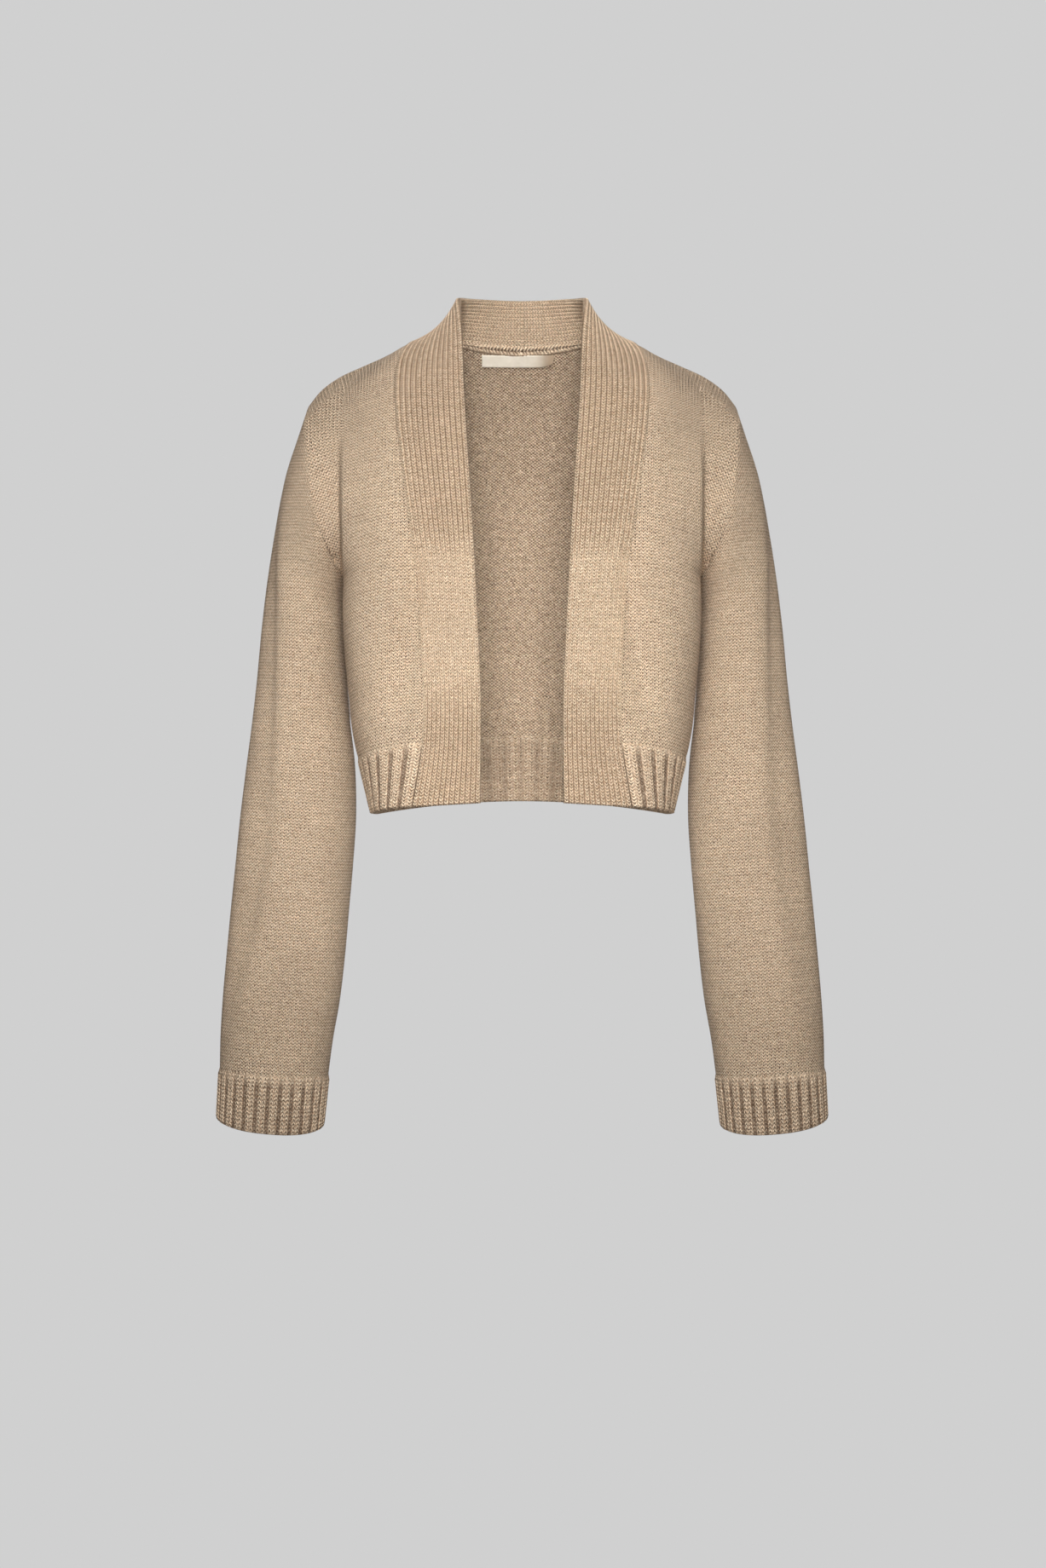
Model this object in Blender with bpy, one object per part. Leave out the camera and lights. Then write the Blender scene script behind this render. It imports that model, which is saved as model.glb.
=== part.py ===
"""A cropped, open-front knitted cardigan as it hangs when worn: hollow, sleeves down.

Sizes are millimetres. X runs across, to the wearer's left, Y to the back and Z up.
The origin is the middle of the neck, level with the back neck seam. The wearer's
right half is worked out, and the left half mirrors it.
"""

from collections import namedtuple

import bpy
import numpy as np

MM = 0.001
SEAM_GAP = 0.3

# Thickness of the knitted cloth under its ribs, and how far the ribs stand out.
CLOTH = 2.8
BAND_CLOTH = 3.0
RIB_CLOTH = 2.6
BAND_RAISE = 1.2
RIB_RAISE = 1.3

# The ribs. A rib of the hems and cuffs has its foot, crest and foot at these shares.
BAND_RIBS = 13
HEM_PITCH = 13.9
CUFF_RIBS = 28
RIB_MARKS = (0.0, 0.16, 0.62, 0.78)
RIB_PROFILE = (0.0, 1.0, 1.0, 0.0)
CUFF_FRONT_DROP = 9.0

# Cells of the grids of points. Those that share a seam have as many along it.
SHOULDER_CELLS = 10
NECK_CELLS = 6
LOWER_CELLS = 6
YOKE_CELLS = 11
RIB_CELLS = 2
SLEEVE_CELLS = 17
BAND_INNER_CELLS = 4

# The linked ridge inside the back neck seam, and the label below it.
NECK_SEAM_HALF = 54.0
NECK_SEAM_ABOVE = 4.0
NECK_SEAM_BELOW = 3.5
NECK_SEAM_DEPTH = 1.4
NECK_SEAM_EDGE = 0.7
NECK_SEAM_CELLS = 6
LABEL_ENDS = (-36.0, 29.0)
LABEL_BOTTOM, LABEL_TOP = -18.5, -8.0
LABEL_CLOTH = 1.0
LABEL_CELLS = 8

# The front band from the hem, up the front, round the neck to the centre back.
# The edge is its free side and the seam the side that joins the body.
BandRow = namedtuple("BandRow", "edge_x edge_y edge_z seam_x seam_y seam_z bow")
BAND = (
    BandRow(-35.0, -112, -402.8, -92.6, -100, -406.2, 1.0),
    BandRow(-34.2, -114, -352.0, -84.0, -104, -352, 2.0),
    BandRow(-34.2, -115, -318.0, -82.5, -106, -318, 2.5),
    BandRow(-36.0, -117, -270.0, -84.5, -107, -270, 3.0),
    BandRow(-39.0, -116, -210.0, -88.3, -106, -207, 3.5),
    BandRow(-41.2, -110, -165.0, -95.0, -101, -164, 3.5),
    BandRow(-44.3, -98, -118.0, -102.0, -89, -116, 3.0),
    BandRow(-46.8, -84, -82.0, -107.0, -74, -76, 3.0),
    BandRow(-48.9, -67, -48.0, -108.8, -57, -45, 2.0),
    BandRow(-50.4, -50, -21.0, -107.0, -39, -24, 0.0),
    BandRow(-52.2, -32, 3.5, -102.5, -20, -11, -2.5),
    BandRow(-54.6, -13, 24.0, -96.5, -3, -4, -4.0),
    BandRow(-56.0, 8, 35.5, -90.0, 12, -1, -4.0),
    BandRow(-53.5, 28, 39.5, -79.0, 29, 1.0, -1.5),
    BandRow(-45.5, 44, 40.8, -62.0, 44, 1.0, 0.5),
    BandRow(-30.0, 55, 41.0, -38.0, 54, -1.0, 1.0),
    BandRow(-14.0, 60, 40.7, -17.0, 58, -2.5, 1.0),
    BandRow(0.0, 61, 40.5, 0.0, 59, -3.0, 1.0),
)
HEM_ROW, RIB_TOP_ROW, ARMPIT_ROW, SHOULDER_ROW, BACK_ROW = 0, 1, 4, 12, 17

# The armhole seam from the tip of the shoulder down to the underarm.
ArmholeRow = namedtuple("ArmholeRow", "x z front_y back_y")
ARMHOLE = (
    ArmholeRow(-186.0, -58, 8, 8),
    ArmholeRow(-187.5, -71, -15, 30),
    ArmholeRow(-186.5, -90, -33, 46),
    ArmholeRow(-183.5, -113, -46, 57),
    ArmholeRow(-180.5, -138, -52, 61),
    ArmholeRow(-176.5, -158, -53, 58),
    ArmholeRow(-171.0, -174, -49, 51),
    ArmholeRow(-165.0, -187, -40, 41),
    ArmholeRow(-159.0, -198, -26, 30),
    ArmholeRow(-154.5, -206, -9, 18),
    ArmholeRow(-152.5, -208, 5, 5),
)

# The shoulder seam, just behind the ridge of the shoulder, neck to tip.
ShoulderRow = namedtuple("ShoulderRow", "x y z")
SHOULDER = (
    ShoulderRow(-90.0, 12, -1.0),
    ShoulderRow(-107.0, 12, -9.3),
    ShoulderRow(-136.0, 11, -21.6),
    ShoulderRow(-162.0, 10, -34.0),
    ShoulderRow(-175.0, 9, -44.0),
    ShoulderRow(-186.0, 8, -58.0),
)

# The side seam of the body, hem to underarm. In plan the front and the back turn a
# rounded corner to reach it, and the front swells out past it.
SideRow = namedtuple("SideRow", "z x y front_swell front_corner back_corner")
SIDE = (
    SideRow(-413, -126.0, 5, 20, 0.62, 0.56),
    SideRow(-398, -126.5, 5, 20, 0.62, 0.56),
    SideRow(-385, -130.5, 5, 20, 0.63, 0.56),
    SideRow(-366, -137.5, 5, 22, 0.64, 0.56),
    SideRow(-343, -142.5, 5, 22, 0.66, 0.57),
    SideRow(-312, -145.5, 5, 22, 0.68, 0.58),
    SideRow(-275, -148.0, 5, 24, 0.70, 0.58),
    SideRow(-240, -149.5, 5, 24, 0.70, 0.58),
    SideRow(-208, -152.5, 5, 12, 0.66, 0.56),
)
SIDE_RIB_TOP = -366.0

# Above the underarm the corner opens out to the shoulder, over so many rows of points,
# and the shoulder seam draws the rows below it along, so many of them.
FRONT_YOKE_CORNER, BACK_YOKE_CORNER = 0.25, 0.35
FRONT_YOKE_ROWS, BACK_YOKE_ROWS = 4, 6
FRONT_TOP_ROWS, BACK_TOP_ROWS = 6, 9
SIDE_CROWDING = 1.2

# The centre back, hem to neck.
BackRow = namedtuple("BackRow", "z y")
BACK = (
    BackRow(-402, 77),
    BackRow(-344, 80),
    BackRow(-300, 85),
    BackRow(-250, 91),
    BackRow(-207, 96),
    BackRow(-160, 98),
    BackRow(-110, 94),
    BackRow(-65, 83),
    BackRow(-30, 70),
    BackRow(-3, 59),
)
BACK_RIB_TOP = -344.0

# The sleeve, seam to cuff: its outer and inner line, and its extent front to back.
SleeveRow = namedtuple("SleeveRow", "outer_x outer_z inner_x inner_z half_depth centre_y")
SLEEVE = (
    SleeveRow(-186.0, -58, -152.5, -208, 57, 4),
    SleeveRow(-194.0, -82, -154.0, -214, 57, 5),
    SleeveRow(-202.5, -108, -154.6, -221, 57, 6),
    SleeveRow(-209.5, -137, -154.7, -229, 57, 7),
    SleeveRow(-216.0, -172, -154.4, -241, 56, 8),
    SleeveRow(-221.7, -210, -154.0, -256, 55, 9),
    SleeveRow(-226.5, -250, -153.2, -280, 53, 10),
    SleeveRow(-231.0, -298, -151.2, -312, 51, 10),
    SleeveRow(-235.5, -337, -148.2, -343, 48, 10),
    SleeveRow(-240.5, -375, -145.2, -375, 46, 10),
    SleeveRow(-245.5, -416, -144.6, -416, 45, 10),
    SleeveRow(-249.8, -458, -147.4, -458, 44, 11),
    SleeveRow(-253.8, -497, -151.0, -499, 44, 11),
    SleeveRow(-257.5, -536, -154.5, -538, 43.5, 12),
    SleeveRow(-260.7, -573, -159.0, -576, 43, 12),
    SleeveRow(-262.7, -606, -165.0, -610, 42.5, 13),
    SleeveRow(-263.3, -634, -169.0, -640, 42.5, 14),
)
SLEEVE_SQUARENESS = 2.25
CAP_LENGTH = 0.3
CUFF_BOTTOM = SleeveRow(-265.5, -675.5, -173.7, -683.6, 42.0, 15)

# The fold that runs up from the underarm into the front, beside the armhole. It fades
# out between the heights of FULL and TOP, and within a short way above the underarm.
ARMPIT_FOLD_DEPTH = 11.0
ARMPIT_FOLD_WIDTH = 10.0
ARMPIT_FOLD_X = -156.0
ARMPIT_FOLD_TOP, ARMPIT_FOLD_FULL = -90.0, -175.0
ARMPIT_FOLD_LOW, ARMPIT_FOLD_BASE = -193.0, -213.0

# The long soft trough beside the sleeve's outer edge. Share is the way down the sleeve,
# and turn the way round it from the outer line, in whole turns.
SleeveFoldRow = namedtuple("SleeveFoldRow", "share turn depth")
SLEEVE_FOLD = (
    SleeveFoldRow(0.00, 0.05, 0.0),
    SleeveFoldRow(0.12, 0.05, 0.0),
    SleeveFoldRow(0.20, 0.09, 1.5),
    SleeveFoldRow(0.30, 0.13, 3.5),
    SleeveFoldRow(0.52, 0.155, 4.5),
    SleeveFoldRow(0.72, 0.155, 4.5),
    SleeveFoldRow(0.83, 0.134, 3.0),
    SleeveFoldRow(0.93, 0.10, 1.0),
    SleeveFoldRow(1.00, 0.09, 0.0),
)
SLEEVE_FOLD_WIDTH = 0.05

# How the finish of each kind of piece looks: colour, roughness.
Finish = namedtuple("Finish", "colour roughness")
FINISHES = {
    "plain_knit": Finish((0.56, 0.42, 0.28), 0.85),
    "rib_knit": Finish((0.60, 0.46, 0.31), 0.85),
    "linking": Finish((0.52, 0.38, 0.26), 0.85),
    "satin": Finish((0.76, 0.68, 0.54), 0.40),
}


# How finely a curve or a ring is read before its points are spread evenly.
DENSE = 400


def through(knots, values, at):
    """Reads values, given at the knots, along cubic curves that pass through them."""
    knots = np.asarray(knots, float)
    values = np.asarray(values, float)
    at = np.asarray(at, float)
    slopes = np.gradient(values, knots, axis=0)
    low = np.clip(np.searchsorted(knots, at) - 1, 0, len(knots) - 2)
    span = knots[low + 1] - knots[low]
    part = (at - knots[low]) / span
    if values.ndim > 1:
        span = span[..., None]
        part = part[..., None]
    square = part * part
    cube = square * part
    start = (2 * cube - 3 * square + 1) * values[low]
    start_slope = (cube - 2 * square + part) * span * slopes[low]
    end = (3 * square - 2 * cube) * values[low + 1]
    end_slope = (cube - square) * span * slopes[low + 1]
    return start + start_slope + end + end_slope


def lengths(points):
    """The distance along a line of points, from its first."""
    steps = np.linalg.norm(np.diff(points, axis=0), axis=1)
    return np.concatenate([[0.0], np.cumsum(steps)])


def even(points, cells):
    """Points at even distances along the curve through the given ones."""
    points = np.asarray(points, float)
    along = lengths(points)
    dense = through(along, points, np.linspace(0, along[-1], DENSE))
    walked = lengths(dense)
    return line_at(dense, np.linspace(0, 1, cells + 1) * walked[-1])


def line_at(points, at):
    """Points on the straight runs between the given ones, at distances along them."""
    along = lengths(points)
    return np.stack([np.interp(at, along, points[:, axis]) for axis in range(3)], axis=1)


def ease(value, low, high):
    """Goes smoothly from 0 at low to 1 at high."""
    part = np.clip((value - low) / (high - low), 0, 1)
    return part * part * (3 - 2 * part)


def unit(vectors):
    return vectors / np.linalg.norm(vectors, axis=-1, keepdims=True)


def bend(start, end, share, swell, at):
    """A section in plan from start to end that rounds the corner between the two.

    The corner lies level with the one of them that is further from the middle. Share
    is how far the section reaches into it, and swell how far it goes out past the end.
    """
    far_y = max(start[1], end[1], key=abs)
    corner_x = end[0] if abs(start[1]) >= abs(end[1]) else start[0]
    first = start + share * (np.array([corner_x, far_y, start[2]]) - start)
    second = end + share * (np.array([corner_x - swell, far_y, end[2]]) - end)
    at = np.asarray(at, float)[:, None]
    back = 1 - at
    return (
        back**3 * start
        + 3 * back**2 * at * first
        + 3 * back * at**2 * second
        + at**3 * end
    )


BAND_EDGE = np.array([row[0:3] for row in BAND], float)
BAND_SEAM = np.array([row[3:6] for row in BAND], float)
BAND_BOW = np.array([row.bow for row in BAND], float)
BAND_ALONG = lengths((BAND_EDGE + BAND_SEAM) / 2)


def band_stations():
    """Where the band's rows of points lie along it: hem rib, front, yoke, back neck."""
    marks = [BAND_ALONG[row] for row in (HEM_ROW, RIB_TOP_ROW, ARMPIT_ROW, SHOULDER_ROW)]
    cells = (RIB_CELLS, LOWER_CELLS, YOKE_CELLS)
    parts = [
        np.linspace(low, high, count + 1)[:-1]
        for low, high, count in zip(marks, marks[1:], cells)
    ]
    parts.append(np.linspace(marks[-1], BAND_ALONG[BACK_ROW], NECK_CELLS + 1))
    return np.concatenate(parts)


def band_grid():
    """Rows of points from the free edge to the seam, one row at each station."""
    stations = band_stations()
    edge = through(BAND_ALONG, BAND_EDGE, stations)
    seam = through(BAND_ALONG, BAND_SEAM, stations)
    bow = through(BAND_ALONG, BAND_BOW, stations)
    across = np.linspace(0, 1, 2 * BAND_RIBS + 1)[None, :, None]
    grid = edge[:, None] + across * (seam - edge)[:, None]
    grid = grid + grid_normals(grid) * (4 * across * (1 - across)) * bow[:, None, None]
    grid[-1, :, 0] = 0
    return grid


def side_at(z):
    """The side seam at a height, as a row of its table."""
    knots = [row.z for row in SIDE]
    return SideRow(*through(knots, SIDE, np.clip(z, knots[0], knots[-1])))


def side_seam(cells):
    """The side seam from the top of the hem rib to the underarm."""
    rows = [side_at(z) for z in np.linspace(SIDE_RIB_TOP, SIDE[-1].z, cells + 1)]
    return np.array([(row.x, row.y, row.z) for row in rows])


def armhole(side):
    """The armhole seam from the underarm up to the tip, on the front or the back."""
    y = "front_y" if side == "front" else "back_y"
    points = [(row.x, getattr(row, y), row.z) for row in reversed(ARMHOLE)]
    return even(points, YOKE_CELLS)


def shoulder_seam():
    """The shoulder seam from the neck to the tip."""
    return even([tuple(row) for row in SHOULDER], SHOULDER_CELLS)


def grid_normals(grid, wrap=False):
    """The outward direction at each point: rows run up the cloth, or down a sleeve."""
    down = np.gradient(grid, axis=0)
    if wrap:
        across = (np.roll(grid, -1, axis=1) - np.roll(grid, 1, axis=1)) / 2
    else:
        across = np.gradient(grid, axis=1)
    return unit(np.cross(down, across))


def front_grid(band):
    """The front from the band to the side, hem rib to shoulder."""
    first = RIB_CELLS
    last = RIB_CELLS + LOWER_CELLS + YOKE_CELLS
    starts = band[first : last + 1, -1]
    ends = np.concatenate([side_seam(LOWER_CELLS)[:-1], armhole("front")])
    across = 1 - (1 - np.linspace(0, 1, SHOULDER_CELLS + 1)) ** SIDE_CROWDING
    rows = []
    for index, (start, end) in enumerate(zip(starts, ends)):
        yoke = ease(index, LOWER_CELLS, LOWER_CELLS + FRONT_YOKE_ROWS)
        side = side_at(end[2])
        corner = side.front_corner + yoke * (FRONT_YOKE_CORNER - side.front_corner)
        rows.append(bend(start, end, corner, side.front_swell * (1 - yoke), across))
    return with_top(np.array(rows), shoulder_seam(), FRONT_TOP_ROWS)


def with_top(grid, top, rows):
    """Moves the last row of points onto the given ones, and those before it ever less.

    The move is evened out along the row on its way down, so that a corner in the top
    edge leaves no crease below it.
    """
    moved = grid.copy()
    off = top - grid[-1]
    count = len(grid)
    for step in range(rows):
        moved[count - 1 - step] += (1 - ease(step, 0, rows)) * off
        for _ in range(2):
            off[1:-1] = (off[:-2] + 2 * off[1:-1] + off[2:]) / 4
    return moved


def back_grid(band):
    """Half the back from the side to the centre, hem rib to shoulder and neck."""
    starts = np.concatenate([side_seam(LOWER_CELLS)[:-1], armhole("back")])
    knots = [row.z for row in BACK]
    lower = np.linspace(BACK_RIB_TOP, SIDE[-1].z, LOWER_CELLS + 1)[:-1]
    upper = np.linspace(SIDE[-1].z, knots[-1], YOKE_CELLS + 1)
    z = np.concatenate([lower, upper])
    y = through(knots, [row.y for row in BACK], z)
    ends = np.stack([np.zeros_like(z), y, z], axis=1)
    neck = band[-1 - NECK_CELLS :, -1]
    ends[-1] = neck[-1]
    across = np.concatenate(
        [
            np.linspace(0, 0.5, SHOULDER_CELLS + 1)[:-1],
            np.linspace(0.5, 1, NECK_CELLS + 1),
        ]
    )
    rows = []
    for index, (start, end) in enumerate(zip(starts, ends)):
        yoke = ease(index, LOWER_CELLS, LOWER_CELLS + BACK_YOKE_ROWS)
        corner = side_at(start[2]).back_corner
        corner = corner + yoke * (BACK_YOKE_CORNER - corner)
        rows.append(bend(start, end, corner, 0, across))
    top = np.concatenate([shoulder_seam()[::-1][:-1], neck])
    return with_top(np.array(rows), top, BACK_TOP_ROWS)


def armpit_fold(grid):
    """Presses the fold that runs up from the underarm into the front."""
    depth = 1 - ease(grid[..., 2], ARMPIT_FOLD_FULL, ARMPIT_FOLD_TOP)
    base = ease(grid[..., 2], ARMPIT_FOLD_BASE, ARMPIT_FOLD_LOW)
    near = np.exp(-(((grid[..., 0] - ARMPIT_FOLD_X) / ARMPIT_FOLD_WIDTH) ** 2))
    pressed = grid.copy()
    amount = ARMPIT_FOLD_DEPTH * depth * base * near
    amount[:, 0] = 0
    amount[:, -1] = 0
    amount[-1] = 0
    pressed[..., 1] += amount
    return pressed


def sleeve_ring(row, turn):
    """One ring of the sleeve: turn is 0 on its outer line, half way on its inner one."""
    angle = 2 * np.pi * turn
    power = 2 / SLEEVE_SQUARENESS
    along = np.sign(np.cos(angle)) * np.abs(np.cos(angle)) ** power
    forward = np.sign(np.sin(angle)) * np.abs(np.sin(angle)) ** power
    share = (1 - along) / 2
    x = row.outer_x + share * (row.inner_x - row.outer_x)
    z = row.outer_z + share * (row.inner_z - row.outer_z)
    return np.stack([x, row.centre_y - row.half_depth * forward, z], axis=1)


def even_ring(ring, cells):
    """The ring's points spread evenly on each half, between the outer and inner line."""
    half = len(ring) // 2
    front = ring[: half + 1]
    back = np.concatenate([ring[half:], ring[:1]])
    front = line_at(front, np.linspace(0, lengths(front)[-1], cells + 1))
    back = line_at(back, np.linspace(0, lengths(back)[-1], cells + 1))
    return np.concatenate([front[:-1], back[:-1]])


def ring_at(row):
    return even_ring(sleeve_ring(row, np.arange(DENSE) / DENSE), YOKE_CELLS)


def sleeve_grid():
    """Rings of points from the armhole seam down to the cuff."""
    table = np.array(SLEEVE, float)
    along = lengths(table[:, [0, 1]])
    along = along / along[-1]
    stations = np.linspace(0, 1, SLEEVE_CELLS + 1)
    rows = [SleeveRow(*through(along, table, [station])[0]) for station in stations]
    grid = np.array([ring_at(row) for row in rows])
    seam = np.concatenate([armhole("front")[::-1][:-1], armhole("back")[:-1]])
    share = 1 - ease(stations, 0, CAP_LENGTH)
    grid = grid + share[:, None, None] * (seam - grid[0])
    return sleeve_fold(grid, stations)


def sleeve_fold(grid, stations):
    """Presses the long soft trough into the sleeve's front."""
    knots = [row.share for row in SLEEVE_FOLD]
    middle = through(knots, [row.turn for row in SLEEVE_FOLD], stations)
    depth = through(knots, [row.depth for row in SLEEVE_FOLD], stations)
    turn = np.arange(grid.shape[1]) / grid.shape[1]
    near = np.exp(-(((turn[None] - middle[:, None]) / SLEEVE_FOLD_WIDTH) ** 2))
    pressed = depth[:, None] * near
    return grid - grid_normals(grid, wrap=True) * pressed[..., None]


def cuff_grid(sleeve):
    """The cuff's rings from the sleeve's last one down, a point at each mark of a rib."""
    top_ring = np.concatenate([sleeve[-1], sleeve[-1][:1]])
    turn = rib_turns(CUFF_RIBS)[:-1]
    top = line_at(top_ring, turn * lengths(top_ring)[-1])
    ring = even_ring(sleeve_ring(CUFF_BOTTOM, np.arange(DENSE) / DENSE), DENSE // 4)
    closed = np.concatenate([ring, ring[:1]])
    bottom = line_at(closed, turn * lengths(closed)[-1])
    forward = (CUFF_BOTTOM.centre_y - bottom[:, 1]) / CUFF_BOTTOM.half_depth
    bottom[:, 2] -= CUFF_FRONT_DROP * forward
    down = np.linspace(0, 1, RIB_CELLS + 1)[:, None, None]
    return top + down * (bottom - top)


def rib_turns(ribs):
    """Where the points of a run of 2x2 ribs lie along it, as shares of its length."""
    return np.append((np.arange(ribs)[:, None] + RIB_MARKS).ravel(), ribs) / ribs


def hem_grid(top, bottom, ribs):
    """A hem rib between the edge above it and its own lower edge."""
    turns = rib_turns(ribs)
    upper = line_at(top, turns * lengths(top)[-1])
    lower = line_at(bottom, turns * lengths(bottom)[-1])
    up = np.linspace(0, 1, RIB_CELLS + 1)[:, None, None]
    return lower + up * (upper - lower)


def side_foot():
    """The lower end of the side seam, at the hem."""
    return np.array([SIDE[0].x, SIDE[0].y, SIDE[0].z], float)


def front_hem_line(band):
    """The front's lower edge from the band to the side."""
    foot = SIDE[0]
    across = np.linspace(0, 1, DENSE)
    return bend(band[0, -1], side_foot(), foot.front_corner, foot.front_swell, across)


def back_hem_line():
    """The back's lower edge from side to side."""
    middle = np.array([0.0, BACK[0].y, BACK[0].z])
    across = np.linspace(0, 1, DENSE)
    return whole(bend(side_foot(), middle, SIDE[0].back_corner, 0, across))


def hem_ribs(line):
    """How many ribs fit along a lower edge."""
    return round(lengths(line)[-1] / HEM_PITCH)


def whole(half):
    """A half that ends on the centre line, with its mirror image after it."""
    other = half[..., ::-1, :][..., 1:, :] * np.array([-1.0, 1.0, 1.0])
    return np.concatenate([half, other], axis=-2)


# Each edge of a grid of points, and the line of points beside it.
EDGE_LINES = {
    "first_row": (np.s_[0], np.s_[1]),
    "last_row": (np.s_[-1], np.s_[-2]),
    "first_column": (np.s_[:, 0], np.s_[:, 1]),
    "last_column": (np.s_[:, -1], np.s_[:, -2]),
}


class Piece:
    """One piece of cloth: its grid of points, outward directions and raised pattern."""

    def __init__(self, name, grid, finish, cloth, raised=0.0, every=1, wrap=False):
        self.name = name
        self.grid = grid
        self.finish = finish
        self.cloth = cloth
        self.wrap = wrap
        self.normals = grid_normals(grid, wrap)
        # The raise is one number, or one for each column.
        self.raised = np.broadcast_to(raised, grid.shape[:2])
        # The inner face is plain, so it has only some of the columns.
        self.inner = np.arange(0, grid.shape[1], every)

    def inside(self):
        """The points of its inner face."""
        return self.grid - self.normals * self.cloth

    def edge_cells(self):
        """Index of each point on an edge that is sewn or free."""
        rows, columns = self.grid.shape[:2]
        marks = np.zeros((rows, columns), bool)
        marks[0] = True
        marks[-1] = True
        if not self.wrap:
            marks[:, 0] = True
            marks[:, -1] = True
        return np.argwhere(marks)

    def inset(self, sewn):
        """Draws each sewn edge back by half the seam gap, along the cloth."""
        moved = self.grid.copy()
        for side in sewn:
            edge, beside = EDGE_LINES[side]
            line = self.grid[edge]
            if self.wrap:
                run = np.roll(line, -1, axis=0) - np.roll(line, 1, axis=0)
            else:
                run = np.gradient(line, axis=0)
            run = unit(run)
            inward = self.grid[beside] - line
            out = self.normals[edge]
            inward = inward - out * (inward * out).sum(-1, keepdims=True)
            inward = inward - run * (inward * run).sum(-1, keepdims=True)
            moved[edge] += unit(inward) * SEAM_GAP / 2
        self.grid = moved


def at_x(line, x):
    """Points at the given x on the straight runs between a line's points."""
    y = np.interp(x, line[:, 0], line[:, 1])
    z = np.interp(x, line[:, 0], line[:, 2])
    return np.stack([x, y, z], axis=1)


def toward(line, target, distance):
    """Each point of a line, moved the distance toward its partner on the target line."""
    return line + unit(target - line) * distance


def laid_inside(name, grid, finish, cloth):
    """A piece that lies on the inside of the cloth, just clear of it."""
    piece = Piece(name, grid, finish, cloth)
    piece.grid = piece.grid - piece.normals * SEAM_GAP
    return piece


def neck_seam_piece(band, back):
    """The ridge over the seam where the collar joins the back, thickest along its middle."""
    middle = back.grid.shape[1] // 2
    neck = slice(middle - NECK_CELLS, middle + 1)
    on_back, lower = back.inside()[-1, neck], back.inside()[-2, neck]
    on_band, upper = np.moveaxis(band.inside()[-1 - NECK_CELLS :, band.inner[[-1, -2]]], 1, 0)
    lines = (
        toward(on_back, lower, NECK_SEAM_BELOW),
        (on_back + on_band) / 2,
        toward(on_band, upper, NECK_SEAM_ABOVE),
    )
    x = np.linspace(-NECK_SEAM_HALF, 0, NECK_SEAM_CELLS + 1)
    grid = whole(np.array([at_x(line, x) for line in lines]))
    depth = np.array([NECK_SEAM_EDGE, NECK_SEAM_DEPTH, NECK_SEAM_EDGE])[:, None, None]
    return laid_inside("neck_seam", grid, "linking", depth)


def label_piece(back):
    """The label, flat on the inside of the back between its two top rows of points."""
    x = np.linspace(*LABEL_ENDS, LABEL_CELLS + 1)
    lower, upper = at_x(back.inside()[-2], x), at_x(back.inside()[-1], x)
    rows = []
    for z in (LABEL_BOTTOM, LABEL_TOP):
        share = (z - lower[:, 2]) / (upper[:, 2] - lower[:, 2])
        rows.append(lower + share[:, None] * (upper - lower))
    return laid_inside("label", np.array(rows), "satin", LABEL_CLOTH)


def share_seam_normals(pieces):
    """Gives points that meet on a seam one direction out, the left side as the right."""
    found = {}
    for piece in pieces:
        for row, column in piece.edge_cells():
            x, y, z = np.round(piece.grid[row, column], 2)
            fold = np.array([-1.0 if x > 0 else 1.0, 1.0, 1.0])
            if x == 0:
                fold[0] = 0.0
            key = (-abs(x), y, z)
            found.setdefault(key, []).append((piece, row, column, fold))
    for meeting in found.values():
        mean = unit(sum(fold * piece.normals[row, column] for piece, row, column, fold in meeting))
        for piece, row, column, fold in meeting:
            piece.normals[row, column] = mean * fold


def rim(points, outer, inner):
    """Triangles across the thickness, between the two lines of an edge of the cloth.

    Where both lines have as many points, each cell is split from its higher outer
    point, so that the rims that face each other across a seam are split alike.
    """
    faces = []
    if len(outer) == len(inner):
        rank = points[outer, 2] + 0.37 * points[outer, 1]
        for here in range(len(outer) - 1):
            there = here + 1
            if rank[here] > rank[there]:
                faces.append((outer[here], outer[there], inner[there]))
                faces.append((outer[here], inner[there], inner[here]))
            else:
                faces.append((outer[here], outer[there], inner[here]))
                faces.append((outer[there], inner[there], inner[here]))
        return faces
    low, high = 0, 0
    while low < len(outer) - 1 or high < len(inner) - 1:
        outer_share = (low + 1) / (len(outer) - 1)
        inner_share = (high + 1) / (len(inner) - 1)
        if high == len(inner) - 1 or (low < len(outer) - 1 and outer_share <= inner_share):
            faces.append((outer[low], outer[low + 1], inner[high]))
            low += 1
        else:
            faces.append((outer[low], inner[high + 1], inner[high]))
            high += 1
    return faces


def sheet(index, wrap):
    """Triangles of a grid of point numbers, each cell split along the same diagonal."""
    if wrap:
        index = np.concatenate([index, index[:, :1]], axis=1)
    low, high = index[:-1], index[1:]
    first = np.stack([low[:, :-1], high[:, :-1], high[:, 1:]], axis=-1)
    second = np.stack([low[:, :-1], high[:, 1:], low[:, 1:]], axis=-1)
    return np.concatenate([first.reshape(-1, 3), second.reshape(-1, 3)]).tolist()


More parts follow.
